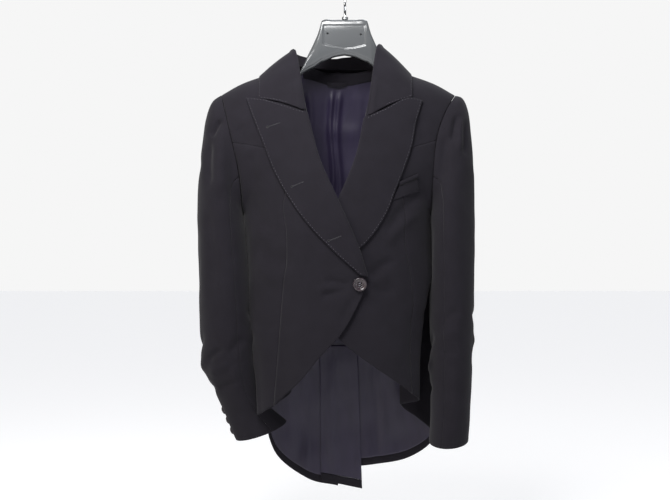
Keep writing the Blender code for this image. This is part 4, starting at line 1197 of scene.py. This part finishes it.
# shares of a button's thickness and hole spacing, and the strands' places and radius in millimetres
sewn = {"strands": (-0.5, 0, 0.5), "radius": 0.28, "spacing": 0.7, "low": 0.48, "arch": 0.22, "dive": 0.5,
        "diveFrom": 0.95}


def sewing(centre, facing, spacing, thick):
    # two bars of thread, each of three strands, through the holes
    across, upward, out = frameAt(facing)
    reach = spacing * sewn["spacing"]
    parts = []
    for row in (-1, 1):
        for strand in sewn["strands"]:
            path = []
            for t in np.linspace(-1, 1, 13):
                dive = sewn["dive"] if abs(t) > sewn["diveFrom"] else 0
                height = thick * (sewn["low"] + sewn["arch"] * (1 - abs(t) ** 4) - dive)
                path.append(centre + across * reach * t + upward * (row * reach + strand) + out * height)
            parts.append(tube(path, sewn["radius"], 6))
    return parts


def makeButtons():
    place = placeOf(right, *buttonForm["place"])
    skin = bodySkin(right, front, place, 0.0)
    facing = bodySkin(right, front, place, 1.0) - skin
    centre = skin + facing * (overlap["lift"] + form["wall"] / 2 + form["seamGap"] + buttonForm["above"])
    made = solid("frontButton", turned(centre, facing, buttonForm["radius"], buttonForm["thick"], 72))
    drill(made, centre, facing, buttonForm["hole"], buttonForm["holeSpacing"], buttonForm["thick"])
    made.data.shade_smooth()
    show(made, resin, ["front_button"])
    parts = sewing(centre, facing, buttonForm["holeSpacing"], buttonForm["thick"])
    for side in (right, left):
        for k in range(buttonForm["cuffButtons"]):
            name = word[side] + "_" + str(k + 1)
            low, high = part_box("cuff_button_" + name)
            middle = np.array((low + high) / 2) / mm
            facing = cuffFacing(side, middle)
            centre = middle - facing * buttonForm["cuffThick"] / 2
            skin = turned(centre, facing, buttonForm["cuffRadius"], buttonForm["cuffThick"], 40)
            show(solid("cuffButton_" + name, skin), resin, ["cuff_button_" + name])
            parts += sewing(centre, facing, buttonForm["cuffHoleSpacing"], buttonForm["cuffThick"])
    show(solid("buttonThread", joined(parts)), thread)


def cuffFacing(side, point):
    # the way out of the sleeve beside a point
    turns = np.linspace(sleeveCut["frontSeam"], sleeveCut["backSeam"], sleeveCut["upperColumns"])
    rings = sleeveRings(side, turns)
    normals = normalsOf(rings, (side, 0, 0))
    nearest = np.argmin(np.linalg.norm(rings - point, axis=-1))
    return normals.reshape(-1, 3)[nearest]


# hanging loop, which bows away from the facing between its two sewn ends
loopForm = {"top": -157.0, "bottom": -163.0, "from": -32.0, "length": 36.0, "out": 1.5, "bow": 5.0}


def makeLoop():
    grid = []
    for z in np.linspace(loopForm["top"], loopForm["bottom"], 7):
        row = []
        for share in np.linspace(0, 1, 40):
            x = loopForm["from"] + loopForm["length"] * share
            side = right if x < form["middleX"] else left
            depth = form["liningDepth"] + form["liningWall"] + loopForm["out"]
            depth += loopForm["bow"] * math.sin(math.pi * share)
            row.append(bodySkin(side, back, placeOf(side, x, z), -depth))
        grid.append(row)
    woolPanel("loop", np.array(grid), (0, -1, 0), ["hanger_loop"], form["liningWall"])


# hanger and hook: the hanger's sections by their distance from the stem, with a sunk panel in its neck
hangerForm = {
    "fromStem": [0, 20, 36, 40, 44, 47, 51, 57, 64, 72, 80, 90, 105, 130, 152, 170, 182, 188],
    "top": [-55, -55, -55.5, -58, -72, -81, -90, -103, -117, -135, -149, -156, -161, -170, -178, -186, -193,
            -198],
    "bottom": [-117, -121, -128, -129, -132, -134, -137, -140, -144, -149, -157, -168, -182, -196, -205,
               -210, -210, -207],
    "half": [9, 9, 9, 9, 9, 9, 8.5, 8, 8, 8.5, 10, 13, 16, 19, 20, 18, 13, 6],
    "middleX": -1.0, "stations": 300, "around": 170,
    "panelX": [-39, 36], "panelTop": -64, "panelDepth": 1.2, "panelEdge": 1.6,
    "panelFoot": [(-39, -99), (-20, -104), (-1, -107), (15, -106), (36, -101)],
    "lip": 4.5, "lipDepth": 0.8, "lipEnd": 90.0, "lipOver": 20.0,
    "neckSquare": 0.45, "armRounder": 0.35, "armFrom": 40.0, "armOver": 20.0, "face": 0.6,
    "holes": [(-30.5, -80), (27.5, -81.5)], "holeRadius": 1.7, "holeDepth": (-14, -8, -4, -2),
}


def makeHanger():
    table = hangerForm
    reach = table["fromStem"]
    stations = np.linspace(-reach[-1], reach[-1], table["stations"])
    footX, footZ = np.array(table["panelFoot"], float).T
    rings = []
    for x in stations:
        top = float(through(reach, table["top"], abs(x)))
        low = float(through(reach, table["bottom"], abs(x)))
        half = float(through(reach, table["half"], abs(x)))
        # the neck is nearly square in section, and the arms are rounder
        arm = ease((abs(x) - table["armFrom"]) / table["armOver"])
        square = table["neckSquare"] + table["armRounder"] * arm
        turns = np.linspace(0, 2 * math.pi, 900)
        y = half * np.sign(np.cos(turns)) * np.abs(np.cos(turns)) ** square
        z = (top + low) / 2 + (top - low) / 2 * np.sign(np.sin(turns)) * np.abs(np.sin(turns)) ** square
        along = np.concatenate([[0], np.cumsum(np.hypot(np.diff(y), np.diff(z)))])
        at = np.linspace(0, along[-1], table["around"] + 1)[:-1]
        y, z = np.interp(at, along, y), np.interp(at, along, z)
        placeX = table["middleX"] + x
        edge = table["panelEdge"]
        inside = (ease((placeX - table["panelX"][0]) / edge) * ease((table["panelX"][1] - placeX) / edge)
                  * ease((z - np.interp(placeX, footX, footZ)) / edge)
                  * ease((table["panelTop"] - z) / edge))
        lip = np.exp(-(z - low - table["lip"]) ** 2) * ease((table["lipEnd"] - abs(x)) / table["lipOver"])
        push = table["panelDepth"] * inside + table["lipDepth"] * lip
        y = np.where(y < -half * table["face"], y + push, y)
        rings.append(np.stack([np.full_like(y, placeX), y, z], axis=1))
    made = solid("suitHanger", loft(rings))
    for x, z in table["holes"]:
        path = [np.array([x, y, z]) for y in table["holeDepth"]]
        cutOut(made, solid("holeCut", tube(path, table["holeRadius"], 20)))
    made.data.shade_smooth()
    show(made, plastic, ["hanger"])


# the hook's wire by its radius, its bend by the wire's middle line, and the collar that holds its foot
hookForm = {
    "wire": 2.0, "radius": 20.0, "stem": [(0, -51), (0, -48), (2, -43), (9, -35), (16, -29)],
    "collar": [(-54.6, 5.0), (-53.9, 5.4), (-52.2, 5.4), (-52.0, 5.1), (-51.8, 5.4), (-50.6, 5.4),
               (-49.9, 4.6), (-49.7, 2.0)],
}


def makeHook():
    centre = -hookForm["radius"] + hookForm["wire"]
    path = hookForm["stem"] + [(hookForm["radius"] - 0.3, centre - 2)]
    for degrees in range(10, 191, 15):
        turn = math.radians(degrees)
        path.append((hookForm["radius"] * math.cos(turn), centre + hookForm["radius"] * math.sin(turn)))
    path.append((-hookForm["radius"] - 0.5, centre - 11))
    path = spread(path, 120)
    path = np.stack([np.zeros(len(path)), path[:, 0], path[:, 1]], axis=1)
    show(solid("hookWire", tube(path, hookForm["wire"], 24)), steel, ["hook"])
    alongX, alongY = np.array([1.0, 0, 0]), np.array([0, 1.0, 0])
    rings = [circle(np.array([0, 0, z]), alongX, alongY, radius, 40) for z, radius in hookForm["collar"]]
    show(solid("hookCollar", loft(rings)), steel)


makePickStitches()
makeButtonholes()
makePocket()
makeButtons()
makeLoop()
makeHanger()
makeHook()
print("details made")

# floor, light and camera
studio = {
    "floorLevel": -1.02, "floorSize": 30.0, "floorColour": "f6f5f4", "floorGlow": 0.24, "seen": "f6f6f6",
    "seenStrength": 1.0, "ambient": "f2f4f8", "ambientStrength": 0.13, "stripHeight": 1.4,
    "camera": (-0.0175, -2.2, -0.45745), "lens": 67.55, "sensor": 36.0,
}
lights = [
    # name, kind, place, aim, size or angle, strength, colour
    ("key", "SUN", (-1.7, -0.9, 1.7), (0, 0, 0), 12, 0.55, "fffaf4"),
    ("behind", "SUN", (0.5, 1.4, 3.0), (0, 0, 0), 30, 1.9, "f4f8ff"),
    ("shoulders", "AREA", (-0.2, -0.7, 0.35), (-0.03, 0, -0.2), 0.45, 17, "ffffff"),
    ("stripLeft", "AREA", (-1.3, -1.1, -0.1), (0, 0, -0.25), 0.35, 6, "fff6e6"),
    ("stripRight", "AREA", (1.3, -1.1, -0.1), (0, 0, -0.25), 0.35, 4, "f4f8ff"),
]


def makeFloor():
    half = studio["floorSize"] / 2
    mesh = bpy.data.meshes.new("floor")
    z = studio["floorLevel"]
    corners = [(-half, -half, z), (half, -half, z), (half, half, z), (-half, half, z)]
    mesh.from_pydata(corners, [], [(0, 1, 2, 3)])
    floor = bpy.data.objects.new("floor", mesh)
    bpy.context.scene.collection.objects.link(floor)
    # a faint glow keeps the floor as pale as the backdrop
    glow = {"Emission Color": linear(studio["floorColour"]), "Emission Strength": studio["floorGlow"]}
    floor.data.materials.append(makePlain("matt floor", studio["floorColour"], {"Roughness": 0.9, **glow}))


def makeBackdrop():
    world = bpy.data.worlds.new("studio")
    world.use_nodes = True
    tree = world.node_tree
    soft = tree.nodes["Background"]
    soft.inputs["Color"].default_value = linear(studio["ambient"])
    soft.inputs["Strength"].default_value = studio["ambientStrength"]
    # the camera sees a near white backdrop, which doesn't light the cloth
    seen = addNode(tree, "ShaderNodeBackground",
                   {"Color": linear(studio["seen"]), "Strength": studio["seenStrength"]})
    path = addNode(tree, "ShaderNodeLightPath")
    both = addNode(tree, "ShaderNodeMixShader", {}, {0: path.outputs["Is Camera Ray"], 1: soft.outputs[0],
                                                     2: seen.outputs[0]})
    tree.links.new(both.outputs[0], tree.nodes["World Output"].inputs["Surface"])
    bpy.context.scene.world = world
    bpy.context.scene.view_settings.view_transform = "Standard"


def makeLights():
    for name, kind, place, aim, size, strength, colour in lights:
        data = bpy.data.lights.new(name, kind)
        if kind == "SUN":
            data.angle = math.radians(size)
        else:
            data.shape = "RECTANGLE"
            data.size = size
            data.size_y = studio["stripHeight"] if name.startswith("strip") else size
        data.energy = strength
        data.color = linear(colour)[:3]
        lamp = bpy.data.objects.new(name, data)
        lamp.location = place
        lamp.rotation_euler = (Vector(aim) - Vector(place)).to_track_quat("-Z", "Y").to_euler()
        bpy.context.scene.collection.objects.link(lamp)


def makeCamera():
    data = bpy.data.cameras.new("camera")
    data.lens = studio["lens"]
    data.sensor_width = studio["sensor"]
    camera = bpy.data.objects.new("camera", data)
    camera.location = studio["camera"]
    camera.rotation_euler = (math.pi / 2, 0, 0)
    bpy.context.scene.collection.objects.link(camera)
    bpy.context.scene.camera = camera


makeFloor()
makeBackdrop()
makeLights()
makeCamera()
print("studio made")
